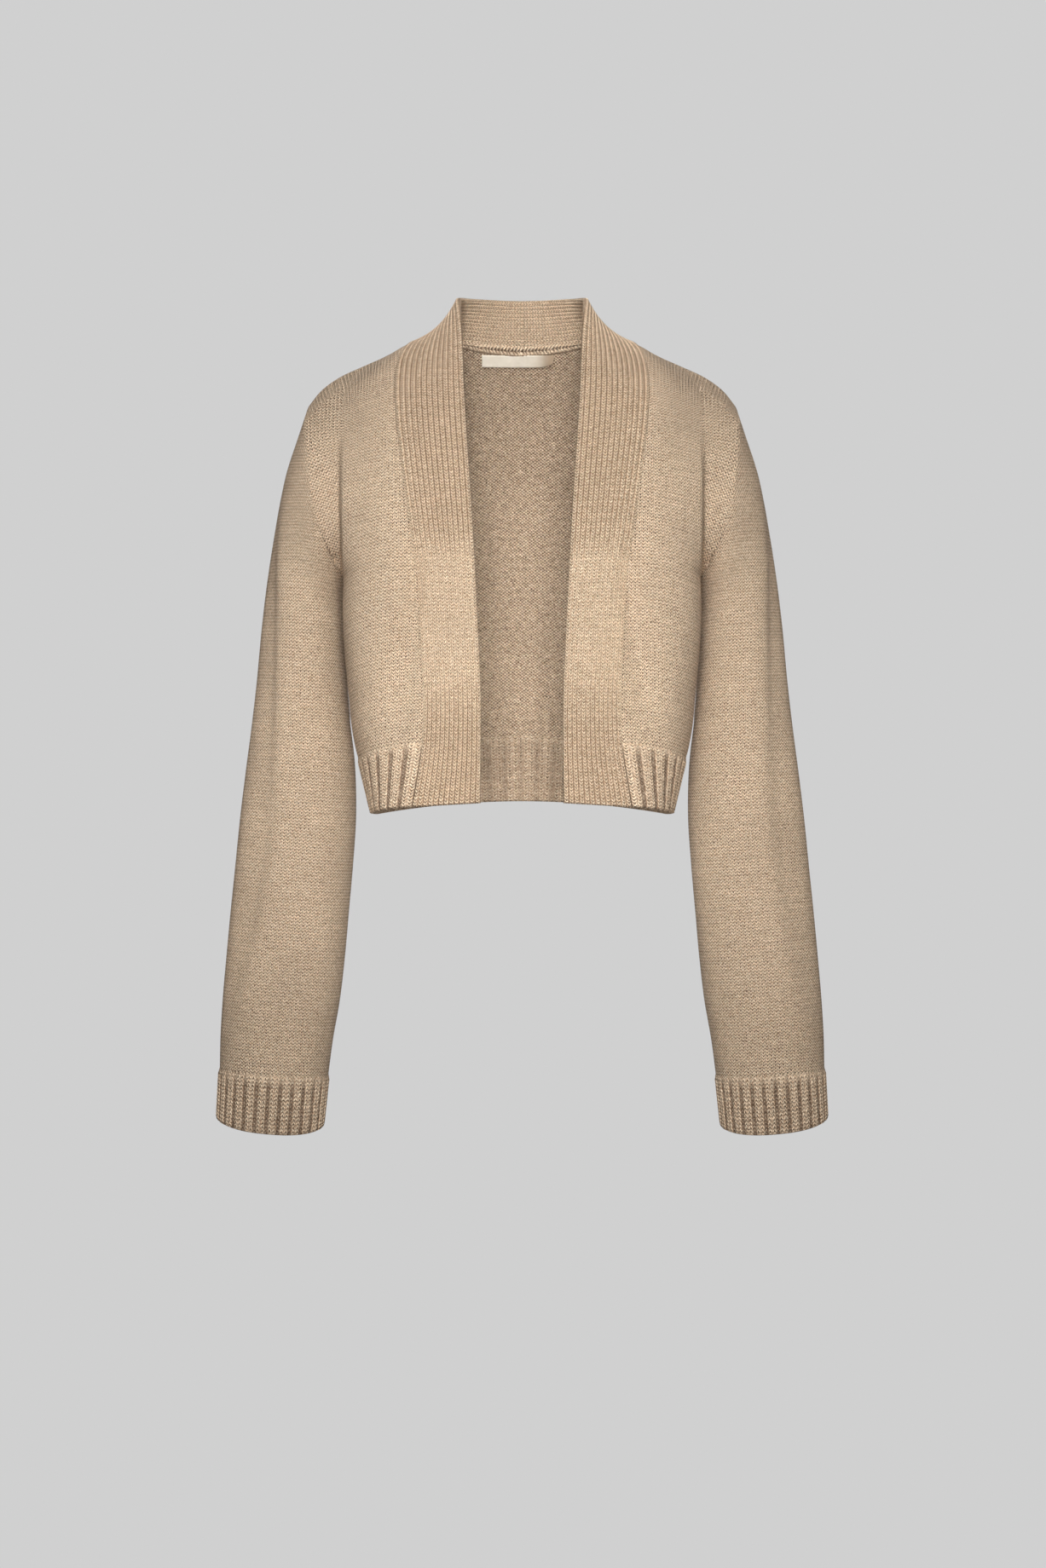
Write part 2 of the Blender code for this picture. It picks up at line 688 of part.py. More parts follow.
def wall_mesh(piece):
    """A closed wall: raised points outside, and fewer, plain ones inside."""
    outer = piece.grid + piece.normals * piece.raised[..., None]
    inner = piece.inside()[:, piece.inner]
    rows, columns = outer.shape[:2]
    outer_index = np.arange(rows * columns).reshape(rows, columns)
    inner_index = rows * columns + np.arange(inner.shape[0] * inner.shape[1])
    inner_index = inner_index.reshape(inner.shape[:2])
    faces = sheet(outer_index, piece.wrap)
    faces += turned(sheet(inner_index, piece.wrap))
    points = np.concatenate([outer.reshape(-1, 3), inner.reshape(-1, 3)])
    out_ring, in_ring = outer_index, inner_index
    if piece.wrap:
        out_ring = np.concatenate([outer_index, outer_index[:, :1]], axis=1)
        in_ring = np.concatenate([inner_index, inner_index[:, :1]], axis=1)
    faces += rim(points, out_ring[0], in_ring[0])
    faces += turned(rim(points, out_ring[-1], in_ring[-1]))
    if not piece.wrap:
        faces += turned(rim(points, outer_index[:, 0], inner_index[:, 0]))
        faces += rim(points, outer_index[:, -1], inner_index[:, -1])
    return points, faces


def turned(faces):
    """The same faces seen from their other side."""
    return [face[::-1] for face in faces]


def piece_material(name, finish_name):
    """The piece's own material, with the colour and roughness of its finish."""
    finish = FINISHES[finish_name]
    material = bpy.data.materials.new(name)
    material.use_nodes = True
    shader = material.node_tree.nodes["Principled BSDF"]
    shader.inputs["Base Color"].default_value = (*finish.colour, 1.0)
    shader.inputs["Roughness"].default_value = finish.roughness
    shader.inputs["Metallic"].default_value = 0.0
    return material


def make_object(name, points, faces, finish, collection):
    mesh = bpy.data.meshes.new(name)
    mesh.from_pydata((np.asarray(points) * MM).tolist(), [], [tuple(map(int, f)) for f in faces])
    mesh.shade_smooth()
    mesh.set_sharp_from_angle(angle=np.radians(50))
    mesh.materials.append(piece_material(name, finish))
    made = bpy.data.objects.new(name, mesh)
    collection.objects.link(made)
    return made


def clear_scene():
    for item in list(bpy.data.objects):
        bpy.data.objects.remove(item)
    for item in list(bpy.data.materials):
        bpy.data.materials.remove(item)


def band_piece(band):
    """The right band, its 1x1 ribs raised along every second line of points."""
    raised = BAND_RAISE * (np.arange(2 * BAND_RIBS + 1) % 2)
    piece = Piece("band_right", band, "rib_knit", BAND_CLOTH, raised)
    piece.inner = np.round(np.linspace(0, 2 * BAND_RIBS, BAND_INNER_CELLS + 1)).astype(int)
    return piece


def rib_piece(name, grid, ribs, wrap=False):
    """A hem or cuff, its 2x2 ribs raised."""
    raised = RIB_RAISE * np.tile(RIB_PROFILE, ribs)
    if not wrap:
        raised = np.append(raised, 0.0)
    every = len(RIB_PROFILE)
    return Piece(name, grid, "rib_knit", RIB_CLOTH, raised, every, wrap)


def plain_piece(name, grid, wrap=False):
    return Piece(name, grid, "plain_knit", CLOTH, wrap=wrap)


def knitted_pieces():
    """The pieces of the wearer's right half, and those across the back, before sewing."""
    band = band_grid()
    front = armpit_fold(front_grid(band))
    back = whole(back_grid(band))
    sleeve = sleeve_grid()
    front_line = front_hem_line(band)
    back_line = back_hem_line()
    hem = hem_grid(front[0], front_line, hem_ribs(front_line))
    hem[:, 0] = band[: RIB_CELLS + 1, -1]
    hem_back = hem_grid(back[0], back_line, hem_ribs(back_line))
    right = {
        "band": band_piece(band),
        "front": plain_piece("front_right", front),
        "hem": rib_piece("hem_right", hem, hem_ribs(front_line)),
        "sleeve": plain_piece("sleeve_right", sleeve, wrap=True),
        "cuff": rib_piece("cuff_right", cuff_grid(sleeve), CUFF_RIBS, wrap=True),
    }
    across = {
        "back": plain_piece("back", back),
        "hem_back": rib_piece("hem_back", hem_back, hem_ribs(back_line)),
    }
    return right, across


# The edges of each kind of piece that are sewn to another. The rest are free.
ALL_EDGES = ("first_row", "last_row", "first_column", "last_column")
SEWN_EDGES = {
    "band": ("last_row", "last_column"),
    "front": ALL_EDGES,
    "back": ALL_EDGES,
    "hem": ("last_row", "first_column", "last_column"),
    "hem_back": ("last_row", "first_column", "last_column"),
    "sleeve": ("first_row", "last_row"),
    "cuff": ("first_row",),
}


def main():
    clear_scene()
    collection = bpy.data.collections.new("cardigan")
    bpy.context.scene.collection.children.link(collection)

    right, across = knitted_pieces()
    share_seam_normals([*right.values(), *across.values()])
    for kind, piece in [*right.items(), *across.items()]:
        piece.inset(SEWN_EDGES[kind])
    across["neck_seam"] = neck_seam_piece(right["band"], across["back"])
    across["label"] = label_piece(across["back"])

    for piece in across.values():
        make_object(piece.name, *wall_mesh(piece), piece.finish, collection)
    for piece in right.values():
        points, faces = wall_mesh(piece)
        make_object(piece.name, points, faces, piece.finish, collection)
        flipped = points * np.array([-1.0, 1.0, 1.0])
        left = piece.name.replace("_right", "_left")
        make_object(left, flipped, turned(faces), piece.finish, collection)


main()
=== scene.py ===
"""The looks of a cropped, open-front knitted cardigan, hollow as when worn.

Sizes are millimetres until a mesh is made, apart from the studio's, which are metres. X
runs to the wearer's left, Y to the back and Z up. The wearer's right half is worked out,
and the left half mirrors it.
"""

from collections import namedtuple

import bpy
import numpy as np
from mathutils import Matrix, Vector


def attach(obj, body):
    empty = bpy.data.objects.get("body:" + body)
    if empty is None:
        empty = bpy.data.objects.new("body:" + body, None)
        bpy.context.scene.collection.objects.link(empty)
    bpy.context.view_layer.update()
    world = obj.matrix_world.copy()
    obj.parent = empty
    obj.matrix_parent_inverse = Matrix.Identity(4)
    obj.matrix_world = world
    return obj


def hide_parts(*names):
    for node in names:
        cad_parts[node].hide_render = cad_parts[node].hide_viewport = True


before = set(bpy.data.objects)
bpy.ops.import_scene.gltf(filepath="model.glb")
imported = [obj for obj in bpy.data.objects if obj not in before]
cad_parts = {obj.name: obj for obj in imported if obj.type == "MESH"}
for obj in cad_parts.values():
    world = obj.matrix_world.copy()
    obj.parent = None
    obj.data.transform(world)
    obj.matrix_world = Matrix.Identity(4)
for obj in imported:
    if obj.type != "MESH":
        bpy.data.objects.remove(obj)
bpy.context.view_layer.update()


def table(kind, *rows):
    """Plain rows of values as named ones."""
    return tuple(kind(*row) for row in rows)


MM = 0.001

# The photograph's camera: a long lens straight in front, level with the chest.
CAMERA_PLACE = (0.0008, -3.215, -0.3866)
CAMERA_LENS, CAMERA_SENSOR, CAMERA_REACH = 85.0, 36.0, 20.0

# The studio: the grey behind, a weak warm light all round, and the floor.
BACKDROP_GREY = 0.631
AROUND_COLOUR, AROUND_STRENGTH = (1.0, 0.9, 0.8, 1), 0.13
FLOOR_HEIGHT, FLOOR_SCALE = -1.42, (5.0, 2.9, 1.0)
FLOOR_COLOUR, FLOOR_ROUGHNESS = (0.66, 0.66, 0.66, 1), 0.9

# Its soft square lights: where each stands and what it faces, how wide it is, its power
# in watts, and the width of its cone in degrees.
Light = namedtuple("Light", "name place target size power cone")
LIGHTS = table(
    Light,
    ("front light", (0.0, -1.6, -0.3), (0.0, 0.0, -0.34), 0.7, 1.75, 34.0),
    ("high front light", (0.0, -1.8, 1.2), (0.0, 0.0, -0.3), 0.7, 4.2, 60.0),
    ("collar light", (0.0, -1.5, 0.9), (0.0, 0.03, 0.045), 0.15, 0.025, 8.0),
    ("wide light", (0.0, -2.0, 0.4), (0.0, 0.0, -0.3), 2.0, 2.6, 180.0),
    ("back light", (0.0, 2.4, 0.5), (0.0, 0.0, -0.3), 2.0, 45.0, 180.0),
    ("right side light", (-1.7, -1.7, -0.2), (-0.15, -0.05, -0.38), 0.4, 0.03, 14.0),
    ("left side light", (1.7, -1.7, -0.2), (0.15, -0.05, -0.38), 0.4, 0.03, 14.0),
)

# The knit: the width of a wale, the height of a course, and the plain cloth's thickness.
WALE = 3.4
COURSE = 2.7
CLOTH = 2.8

# How many ribs there are, or how wide one is, and how far the cuff's front hangs down.
BAND_RIBS = 13
HEM_PITCH = 13.9
CUFF_RIBS = 28
CUFF_FRONT_DROP = 9.0

# The hem and cuff ribs grow out of the plain cloth: their strength there, and over how
# many courses they become whole. A rib rises in full from the last strength on.
RIB_LEAST = 0.1
HEM_FADE, CUFF_FADE = 5, 3
RIB_WHOLE = 0.4

# The share of a front hem's width over which it bends to follow the foot of the band.
HEM_BEND = 0.12

# Cells of the plain panels' grids. FINE is how many go to one cell of the plain solid.
FINE = 6
SHOULDER_CELLS = 10 * FINE
NECK_CELLS = 6 * FINE
LOWER_CELLS = 6 * FINE
YOKE_CELLS = 11 * FINE
SLEEVE_CELLS = 17 * FINE
ROWS_A_COURSE = 3

# How many points a line has from which even spacing is read.
DENSE = 400

# How far a face draws in toward the middle of the cloth at an edge, as the share of its
# depth that is left, and how far from the edge it is whole again.
FREE_EDGE, SEAM_EDGE, KNITTED_EDGE = 0.12, 0.45, 1.0
EDGE_REACH = (0.0, 0.35, 0.9, 1.6)
EDGE_SHARE = (0.0, 0.55, 0.86, 1.0)

# The linked ridge inside the back neck seam: half its length, its reach above the seam,
# and below it at the ends and in the middle, its least and greatest depth, and its grid.
NECK_SEAM_HALF = 55.5
NECK_SEAM_ABOVE, NECK_SEAM_BELOW = 4.5, (2.2, 5.6)
NECK_SEAM_EDGE, NECK_SEAM_DEPTH = 0.4, 1.6
NECK_SEAM_LINES, NECK_SEAM_STEP = 17, 0.6

# Its two cords: how round they are, their painted shade, dark between them and paler on
# them, the length of their links, how much the links swell, and what share of a link each
# cord is moved along, opposite ways.
CORD_ROUNDNESS = 0.7
CORD_SHADE, CORD_PALER = 0.15, 0.65
CORD_LINK, CORD_SWELL, CORD_STAGGER = 3.0, 0.25, 0.25

# The label below it: its ends and edges, its cloth, and its grid.
LABEL_ENDS = (-35.5, 29.0)
LABEL_BOTTOM, LABEL_TOP = -18.3, -8.0
LABEL_CLOTH = 0.5
LABEL_CELLS, LABEL_LINES = 64, 9

# How far its lower edge stands off, its soft wave, and its curled end: where that begins
# and would end, how far it stands off, most at its foot, how far its corner is drawn in
# and up, and from where to where painted shade darkens it as it turns away.
LABEL_LIFT = 0.32
LABEL_WAVE, LABEL_WAVE_LENGTH = 0.25, 5.5
LABEL_CURL_ENDS = (17.0, 31.0)
LABEL_CURL, LABEL_CURL_TOP = 3.5, 1.3
LABEL_DRAWN_IN, LABEL_DRAWN_UP = 2.5, 2.0
LABEL_SHADED = (6.0, 27.0)

# The gaps under the two, and the rows of the back that give the way down from its neck.
SEAM_GAP, LABEL_GAP = 0.3, 0.6
BELOW_NECK_SEAM, BELOW_LABEL = -4, -8

# The front band from the hem, up the front, round the neck to the centre back.
BandRow = namedtuple("BandRow", "edge_x edge_y edge_z seam_x seam_y seam_z bow")
BAND = table(
    BandRow,
    (-35.0, -112, -402.8, -92.6, -100, -406.2, 1.0),
    (-34.2, -114, -352.0, -84.0, -104, -352, 2.0),
    (-34.2, -115, -318.0, -82.5, -106, -318, 2.5),
    (-36.0, -117, -270.0, -84.5, -107, -270, 3.0),
    (-39.0, -116, -210.0, -88.3, -106, -207, 3.5),
    (-41.2, -110, -165.0, -95.0, -101, -164, 3.5),
    (-44.3, -98, -118.0, -102.0, -89, -116, 3.0),
    (-46.8, -84, -82.0, -107.0, -74, -76, 3.0),
    (-48.9, -67, -48.0, -108.8, -57, -45, 2.0),
    (-50.4, -50, -21.0, -107.0, -39, -24, 0.0),
    (-52.2, -32, 3.5, -102.5, -20, -11, -2.5),
    (-54.6, -13, 24.0, -96.5, -3, -4, -4.0),
    (-56.0, 8, 35.5, -90.0, 12, -1, -4.0),
    (-53.5, 28, 39.5, -79.0, 29, 1.0, -1.5),
    (-45.5, 44, 40.8, -62.0, 44, 1.0, 0.5),
    (-30.0, 55, 41.0, -38.0, 54, -1.0, 1.0),
    (-14.0, 60, 40.7, -17.0, 58, -2.5, 1.0),
    (0.0, 61, 40.5, 0.0, 59, -3.0, 1.0),
)
HEM_ROW, RIB_TOP_ROW, ARMPIT_ROW, SHOULDER_ROW, BACK_ROW = 0, 1, 4, 12, 17

# The armhole seam from the tip of the shoulder down to the underarm.
ArmholeRow = namedtuple("ArmholeRow", "x z front_y back_y")
ARMHOLE = table(
    ArmholeRow,
    (-186.0, -58, 8, 8),
    (-187.5, -71, -15, 30),
    (-186.5, -90, -33, 46),
    (-183.5, -113, -46, 57),
    (-180.5, -138, -52, 61),
    (-176.5, -158, -53, 58),
    (-171.0, -174, -49, 51),
    (-165.0, -187, -40, 41),
    (-159.0, -198, -26, 30),
    (-154.5, -206, -9, 18),
    (-152.5, -208, 5, 5),
)

# The shoulder seam, just behind the ridge of the shoulder, neck to tip.
ShoulderRow = namedtuple("ShoulderRow", "x y z")
SHOULDER = table(
    ShoulderRow,
    (-90.0, 12, -1.0),
    (-107.0, 12, -9.3),
    (-136.0, 11, -21.6),
    (-162.0, 10, -34.0),
    (-175.0, 9, -44.0),
    (-186.0, 8, -58.0),
)

# The side seam of the body, hem to underarm, with how the front and the back turn their
# rounded corners to reach it, and how far the front swells out past it.
SideRow = namedtuple("SideRow", "z x y front_swell front_corner back_corner")
SIDE = table(
    SideRow,
    (-413, -126.0, 5, 20, 0.62, 0.56),
    (-398, -126.5, 5, 20, 0.62, 0.56),
    (-385, -130.5, 5, 20, 0.63, 0.56),
    (-366, -137.5, 5, 22, 0.64, 0.56),
    (-343, -142.5, 5, 22, 0.66, 0.57),
    (-312, -145.5, 5, 22, 0.68, 0.58),
    (-275, -148.0, 5, 24, 0.70, 0.58),
    (-240, -149.5, 5, 24, 0.70, 0.58),
    (-208, -152.5, 5, 12, 0.66, 0.56),
)

# The top of the ribs at the side. Up the yoke the corners ease to these over so many rows,
# the last rows bend to the shoulder seam, and the front's columns crowd toward the side.
SIDE_RIB_TOP = -366.0
FRONT_YOKE_CORNER, BACK_YOKE_CORNER = 0.25, 0.35
FRONT_YOKE_ROWS, BACK_YOKE_ROWS = 4 * FINE, 6 * FINE
FRONT_TOP_ROWS, BACK_TOP_ROWS = 6 * FINE, 9 * FINE
SIDE_CROWDING = 1.2

# A section's corner lies as far to the front or back as the end that is further out. It
# passes from the one end to the other while the start's way out less the end's goes
# through this range.
CORNER_TURNS = (-30.0, 10.0)

# The centre back, hem to neck.
BackRow = namedtuple("BackRow", "z y")
BACK = table(
    BackRow,
    (-402, 77),
    (-344, 80),
    (-300, 85),
    (-250, 91),
    (-207, 96),
    (-160, 98),
    (-110, 94),
    (-65, 83),
    (-30, 70),
    (-3, 59),
)
BACK_RIB_TOP = -344.0

# The sleeve, seam to cuff: its outer and inner line, and its extent front to back.
SleeveRow = namedtuple("SleeveRow", "outer_x outer_z inner_x inner_z half_depth centre_y")
SLEEVE = table(
    SleeveRow,
    (-186.0, -58, -152.5, -208, 57, 4),
    (-194.0, -82, -154.0, -214, 57, 5),
    (-202.5, -108, -154.6, -221, 57, 6),
    (-209.5, -137, -154.7, -229, 57, 7),
    (-216.0, -172, -154.4, -241, 56, 8),
    (-221.7, -210, -154.0, -256, 55, 9),
    (-226.5, -250, -153.2, -280, 53, 10),
    (-231.0, -298, -151.2, -312, 51, 10),
    (-235.5, -337, -148.2, -343, 48, 10),
    (-240.5, -375, -145.2, -375, 46, 10),
    (-245.5, -416, -144.6, -416, 45, 10),
    (-249.8, -458, -147.4, -458, 44, 11),
    (-253.8, -497, -151.0, -499, 44, 11),
    (-257.5, -536, -154.5, -538, 43.5, 12),
    (-260.7, -573, -159.0, -576, 43, 12),
    (-262.7, -606, -165.0, -610, 42.5, 13),
    (-263.3, -634, -169.0, -640, 42.5, 14),
)
CUFF_BOTTOM = SleeveRow(-265.5, -675.5, -173.7, -683.6, 42.0, 15)

# How square the rings are, where 2 is an ellipse, and over what share of the sleeve they
# ease out of the armhole seam's own shape.
SLEEVE_SQUARENESS = 2.25
CAP_LENGTH = 0.3

# The fold that runs up from the underarm into the front, beside the armhole. The strip
# past it lies behind, as deep as the armhole seam, and its wales lean toward the fold.
ARMPIT_FOLD_LIP = (-1.5, 3.5)
ARMPIT_FOLD_X = -153.5
ARMPIT_FOLD_TOP, ARMPIT_FOLD_FULL = -75.0, -150.0
ARMPIT_FOLD_LOW, ARMPIT_FOLD_BASE = -196.0, -214.0
ARMPIT_LEAN = 0.42
ARMPIT_LEAN_ENDS = (-135.0, -70.0)
ARMPIT_MIDDLE = (-168.0, -90.0)

# The front rises softly to the fold, and its columns are twice as close from this one on.
ARMPIT_RIDGE, ARMPIT_RIDGE_WIDTH = 9.0, 24.0
ARMPIT_RIDGE_ENDS = (-330.0, -230.0)
FINER_FROM = 34

# A few wales of the front run along the band, low down, and die out between two heights.
# The others stand upright, beside the one at this x.
BESIDE_BAND_WALES = 5.5
BESIDE_BAND_ENDS = (-300.0, -230.0)
UPRIGHT_WALE_X = -120.0

# Soft creases of the body, down their length: where they lie, how deep they are, and how
# far they reach toward the middle of the body and away from it.
CreaseRow = namedtuple("CreaseRow", "z x depth inward outward")
FRONT_CREASES = (
    table(
        CreaseRow,
        (10.0, -96.0, 0.0, 10, 10),
        (-36.0, -108.0, 1.5, 10, 12),
        (-100.0, -107.0, 3.0, 10, 14),
        (-145.0, -104.5, 3.5, 9, 14),
        (-173.0, -96.0, 4.5, 8, 14),
        (-202.0, -89.0, 7.5, 8, 15),
        (-225.0, -88.5, 8.5, 8, 16),
        (-272.0, -95.5, 9.0, 10, 18),
        (-301.0, -100.0, 8.0, 12, 18),
        (-344.0, -106.0, 5.5, 13, 18),
        (-366.0, -112.0, 2.0, 13, 14),
        (-415.0, -116.0, 0.0, 12, 12),
    ),
)
BACK_CREASES = (
    table(
        CreaseRow,
        (-150.0, -150.0, 0.0, 9, 9),
        (-196.0, -136.0, 5.0, 9, 12),
        (-250.0, -118.0, 6.0, 12, 14),
        (-318.0, -106.0, 4.0, 13, 13),
        (-372.0, -101.0, 0.0, 12, 12),
    ),
    table(
        CreaseRow,
        (-225.0, -66.0, 0.0, 12, 12),
        (-285.0, -61.0, 3.2, 13, 12),
        (-352.0, -52.0, 2.2, 12, 12),
        (-400.0, -50.0, 0.0, 12, 12),
    ),
    table(
        CreaseRow,
        (-20.0, -112.0, 0.0, 9, 9),
        (-62.0, -120.0, 3.0, 10, 10),
        (-118.0, -134.0, 3.6, 10, 11),
        (-166.0, -146.0, 0.0, 9, 9),
    ),
)

# Soft creases of the sleeve. Share is the way down it, and turn the way round it from
# its outer line, in whole turns: the front is up to half way, and the back past it.
SleeveCreaseRow = namedtuple("SleeveCreaseRow", "share turn depth upper lower")
SLEEVE_CREASES = (
    table(
        SleeveCreaseRow,
        (0.00, 0.05, 0.0, 0.03, 0.03),
        (0.10, 0.06, 0.0, 0.03, 0.03),
        (0.20, 0.08, 2.0, 0.035, 0.05),
        (0.30, 0.12, 4.0, 0.035, 0.06),
        (0.52, 0.145, 5.0, 0.035, 0.07),
        (0.72, 0.145, 5.0, 0.035, 0.07),
        (0.83, 0.124, 3.5, 0.035, 0.06),
        (0.93, 0.095, 1.2, 0.035, 0.05),
        (1.00, 0.09, 0.0, 0.03, 0.04),
    ),
    table(
        SleeveCreaseRow,
        (0.16, 0.90, 0.0, 0.03, 0.03),
        (0.34, 0.86, 4.0, 0.04, 0.03),
        (0.55, 0.84, 6.0, 0.05, 0.03),
        (0.78, 0.87, 3.5, 0.04, 0.03),
        (0.94, 0.90, 0.0, 0.03, 0.03),
    ),
    table(
        SleeveCreaseRow,
        (0.30, 0.53, 0.0, 0.03, 0.03),
        (0.38, 0.60, 3.5, 0.03, 0.03),
        (0.44, 0.68, 3.0, 0.03, 0.03),
        (0.49, 0.76, 0.0, 0.03, 0.03),
    ),
    table(
        SleeveCreaseRow,
        (0.45, 0.50, 0.0, 0.03, 0.03),
        (0.52, 0.58, 2.6, 0.03, 0.03),
        (0.60, 0.67, 0.0, 0.03, 0.03),
    ),
)

# The lines of stitches across one rib. Place is the share of the rib's width, height the
# share of its rise, lift how many courses the line is slid up so that the stitches make
# Vs, bulge how far each stitch swells there, and wale its place in wales.
RibLine = namedtuple("RibLine", "place height lift bulge wale")
ONE_BY_ONE = table(
    RibLine,
    (0.00, 0.00, 0.9, -0.5, 0.0),
    (0.14, 0.74, 0.7, 0.8, 0.14),
    (0.32, 1.00, 0.4, 1.0, 0.32),
    (0.50, 0.76, 0.0, 0.5, 0.50),
    (0.68, 1.00, 0.4, 1.0, 0.68),
    (0.86, 0.74, 0.7, 0.8, 0.86),
)
TWO_BY_TWO = table(
    RibLine,
    (0.00, 0.15, 0.8, 0.0, 0.0),
    (0.06, 0.78, 0.7, 0.8, 0.15),
    (0.13, 1.00, 0.4, 1.0, 0.35),
    (0.21, 0.84, 0.0, 0.5, 0.57),
    (0.29, 1.00, 0.4, 1.0, 0.78),
    (0.375, 0.62, 0.8, 0.4, 1.0),
    (0.46, 1.00, 0.4, 1.0, 1.22),
    (0.54, 0.84, 0.0, 0.5, 1.43),
    (0.62, 1.00, 0.4, 1.0, 1.65),
    (0.69, 0.78, 0.7, 0.8, 1.85),
    (0.75, 0.15, 0.8, 0.0, 2.0),
    (0.875, 0.42, 0.4, -0.6, 2.5),
)

# A kind of rib: its lines of stitches, its cloth's thickness, how far it rises, and the
# share of its shade that is left inside, where less paints shade on the inner face of the
# hems and cuffs.
RibKind = namedtuple("RibKind", "pattern cloth rise inner_shade")
BAND_RIB = RibKind(ONE_BY_ONE, 3.0, 1.2, 1.0)
HEM_RIB = RibKind(TWO_BY_TWO, 2.6, 1.3, 0.45)

# How far a stitch swells, and its rows of points in and out of the cloth.
STITCH_DEPTH = 0.3
STITCH_PHASES = np.array([-1.0, 0.45, 0.55])

# The painted shade of a rib, dark in its grooves and pale on its ridges: the strength past
# which its grooves are no darker, how sharply they darken, how pale its ridges are, and
# how much paler, as painted light, where its strength is far from 1, how much its stitches
# show, and how much its grooves darken the inside.
GROOVE_DARKEST, GROOVE_SHARPNESS = 1.7, 1.1
RIDGE_SHADE, RIDGE_PALER = 0.9, 0.06
STITCH_SHADE = 0.14
INSIDE_SHADE = 0.6

# To how many digits the places of ribs are rounded, and how near is then the same place.
PLACE_DIGITS, NEARLY = 6, 1e-6

# How strong the band's grooves are along it, from the hem to the centre back, by height
# up the front and then round the neck.
GROOVE_AT = (0, 45, 80, 115, 205, 240, 400, 450, 640)
GROOVE_STRENGTH = (3.0, 2.4, 0.8, 0.35, 0.3, 1.5, 1.5, 0.7, 0.6)


def through(knots, values, at):
    """Reads values, given at the knots, along cubic curves that pass through them."""
    knots = np.asarray(knots, float)
    values = np.asarray(values, float)
    at = np.asarray(at, float)
    slopes = np.gradient(values, knots, axis=0)
    low = np.clip(np.searchsorted(knots, at) - 1, 0, len(knots) - 2)
    span = knots[low + 1] - knots[low]
    part = (at - knots[low]) / span
    if values.ndim > 1:
        span = span[..., None]
        part = part[..., None]
    square = part * part
    cube = square * part
    start = (2 * cube - 3 * square + 1) * values[low]
    start_slope = (cube - 2 * square + part) * span * slopes[low]
    end = (3 * square - 2 * cube) * values[low + 1]
    end_slope = (cube - square) * span * slopes[low + 1]
    return start + start_slope + end + end_slope


def lengths(points):
    """The distance along a line of points, from its first."""
    steps = np.linalg.norm(np.diff(points, axis=0), axis=-1)
    return np.concatenate([np.zeros_like(steps[:1]), np.cumsum(steps, axis=0)])


def line_at(points, share):
    """Points on the straight runs between the given ones, at shares of the way along."""
    along = lengths(points)
    at = share * along[-1]
    return np.stack([np.interp(at, along, points[:, axis]) for axis in range(3)], axis=1)


def joined(first, second):
    """Two lines end to end, where the second begins at the first one's last point."""
    return np.concatenate([first[:-1], second])


def even(points, cells):
    """Points at even distances along the curve through the given ones."""
    points = np.asarray(points, float)
    along = lengths(points)
    dense = through(along, points, np.linspace(0, along[-1], DENSE))
    return line_at(dense, np.linspace(0, 1, cells + 1))


def ease(value, low, high):
    """Goes smoothly from 0 at low to 1 at high."""
    part = np.clip((value - low) / (high - low), 0, 1)
    return part * part * (3 - 2 * part)


def unit(vectors):
    """The same directions, one long."""
    return vectors / np.linalg.norm(vectors, axis=-1, keepdims=True)


def bend(start, end, share, swell, at):
    """A section in plan from start to end that rounds the corner between the two."""
    wide = ease(abs(start[1]) - abs(end[1]), *CORNER_TURNS)
    far_y = end[1] + wide * (start[1] - end[1])
    corner_x = start[0] + wide * (end[0] - start[0])
    first = start + share * (np.array([corner_x, far_y, start[2]]) - start)
    second = end + share * (np.array([corner_x - swell, far_y, end[2]]) - end)
    at = np.asarray(at, float)[:, None]
    back = 1 - at
    return (
        back**3 * start
        + 3 * back**2 * at * first
        + 3 * back * at**2 * second
        + at**3 * end
    )


def grid_normals(grid, wrap=False):
    """The outward direction at each point: rows run up the cloth, or down a sleeve."""
    down = np.gradient(grid, axis=0)
    if wrap:
        across = (np.roll(grid, -1, axis=1) - np.roll(grid, 1, axis=1)) / 2
    else:
        across = np.gradient(grid, axis=1)
    return unit(np.cross(down, across))


BAND_EDGE = np.array([row[0:3] for row in BAND], float)
BAND_SEAM = np.array([row[3:6] for row in BAND], float)
BAND_BOW = np.array([row.bow for row in BAND], float)
BAND_ALONG = lengths((BAND_EDGE + BAND_SEAM) / 2)


def band_surface(stations, across):
    """The band's points from the free edge to the seam, a row for each station."""
    edge = through(BAND_ALONG, BAND_EDGE, stations)
    seam = through(BAND_ALONG, BAND_SEAM, stations)
    bow = through(BAND_ALONG, BAND_BOW, stations)
    across = across[None, :, None]
    grid = edge[:, None] + across * (seam - edge)[:, None]
    return grid + grid_normals(grid) * (4 * across * (1 - across)) * bow[:, None, None]


def band_seam(low_row, high_row, cells):
    """The band's seam between two rows of its table."""
    stations = np.linspace(BAND_ALONG[low_row], BAND_ALONG[high_row], cells + 1)
    line = through(BAND_ALONG, BAND_SEAM, stations)
    line[:, 0] = np.minimum(line[:, 0], 0)
    return line


def side_at(z):
    """The side seam at a height, as a row of its table."""
    knots = [row.z for row in SIDE]
    return SideRow(*through(knots, SIDE, np.clip(z, knots[0], knots[-1])))


def side_seam(low, high, cells):
    """Points up the side seam between two heights."""
    rows = [side_at(z) for z in np.linspace(low, high, cells + 1)]
    return np.array([(row.x, row.y, row.z) for row in rows])


def armhole(y):
    """The armhole seam from the underarm up to the tip, as deep as the front or the back."""
    points = [(row.x, getattr(row, y), row.z) for row in reversed(ARMHOLE)]
    return even(points, YOKE_CELLS)


def shoulder_seam():
    """The shoulder seam from the neck to the tip."""
    return even([tuple(row) for row in SHOULDER], SHOULDER_CELLS)


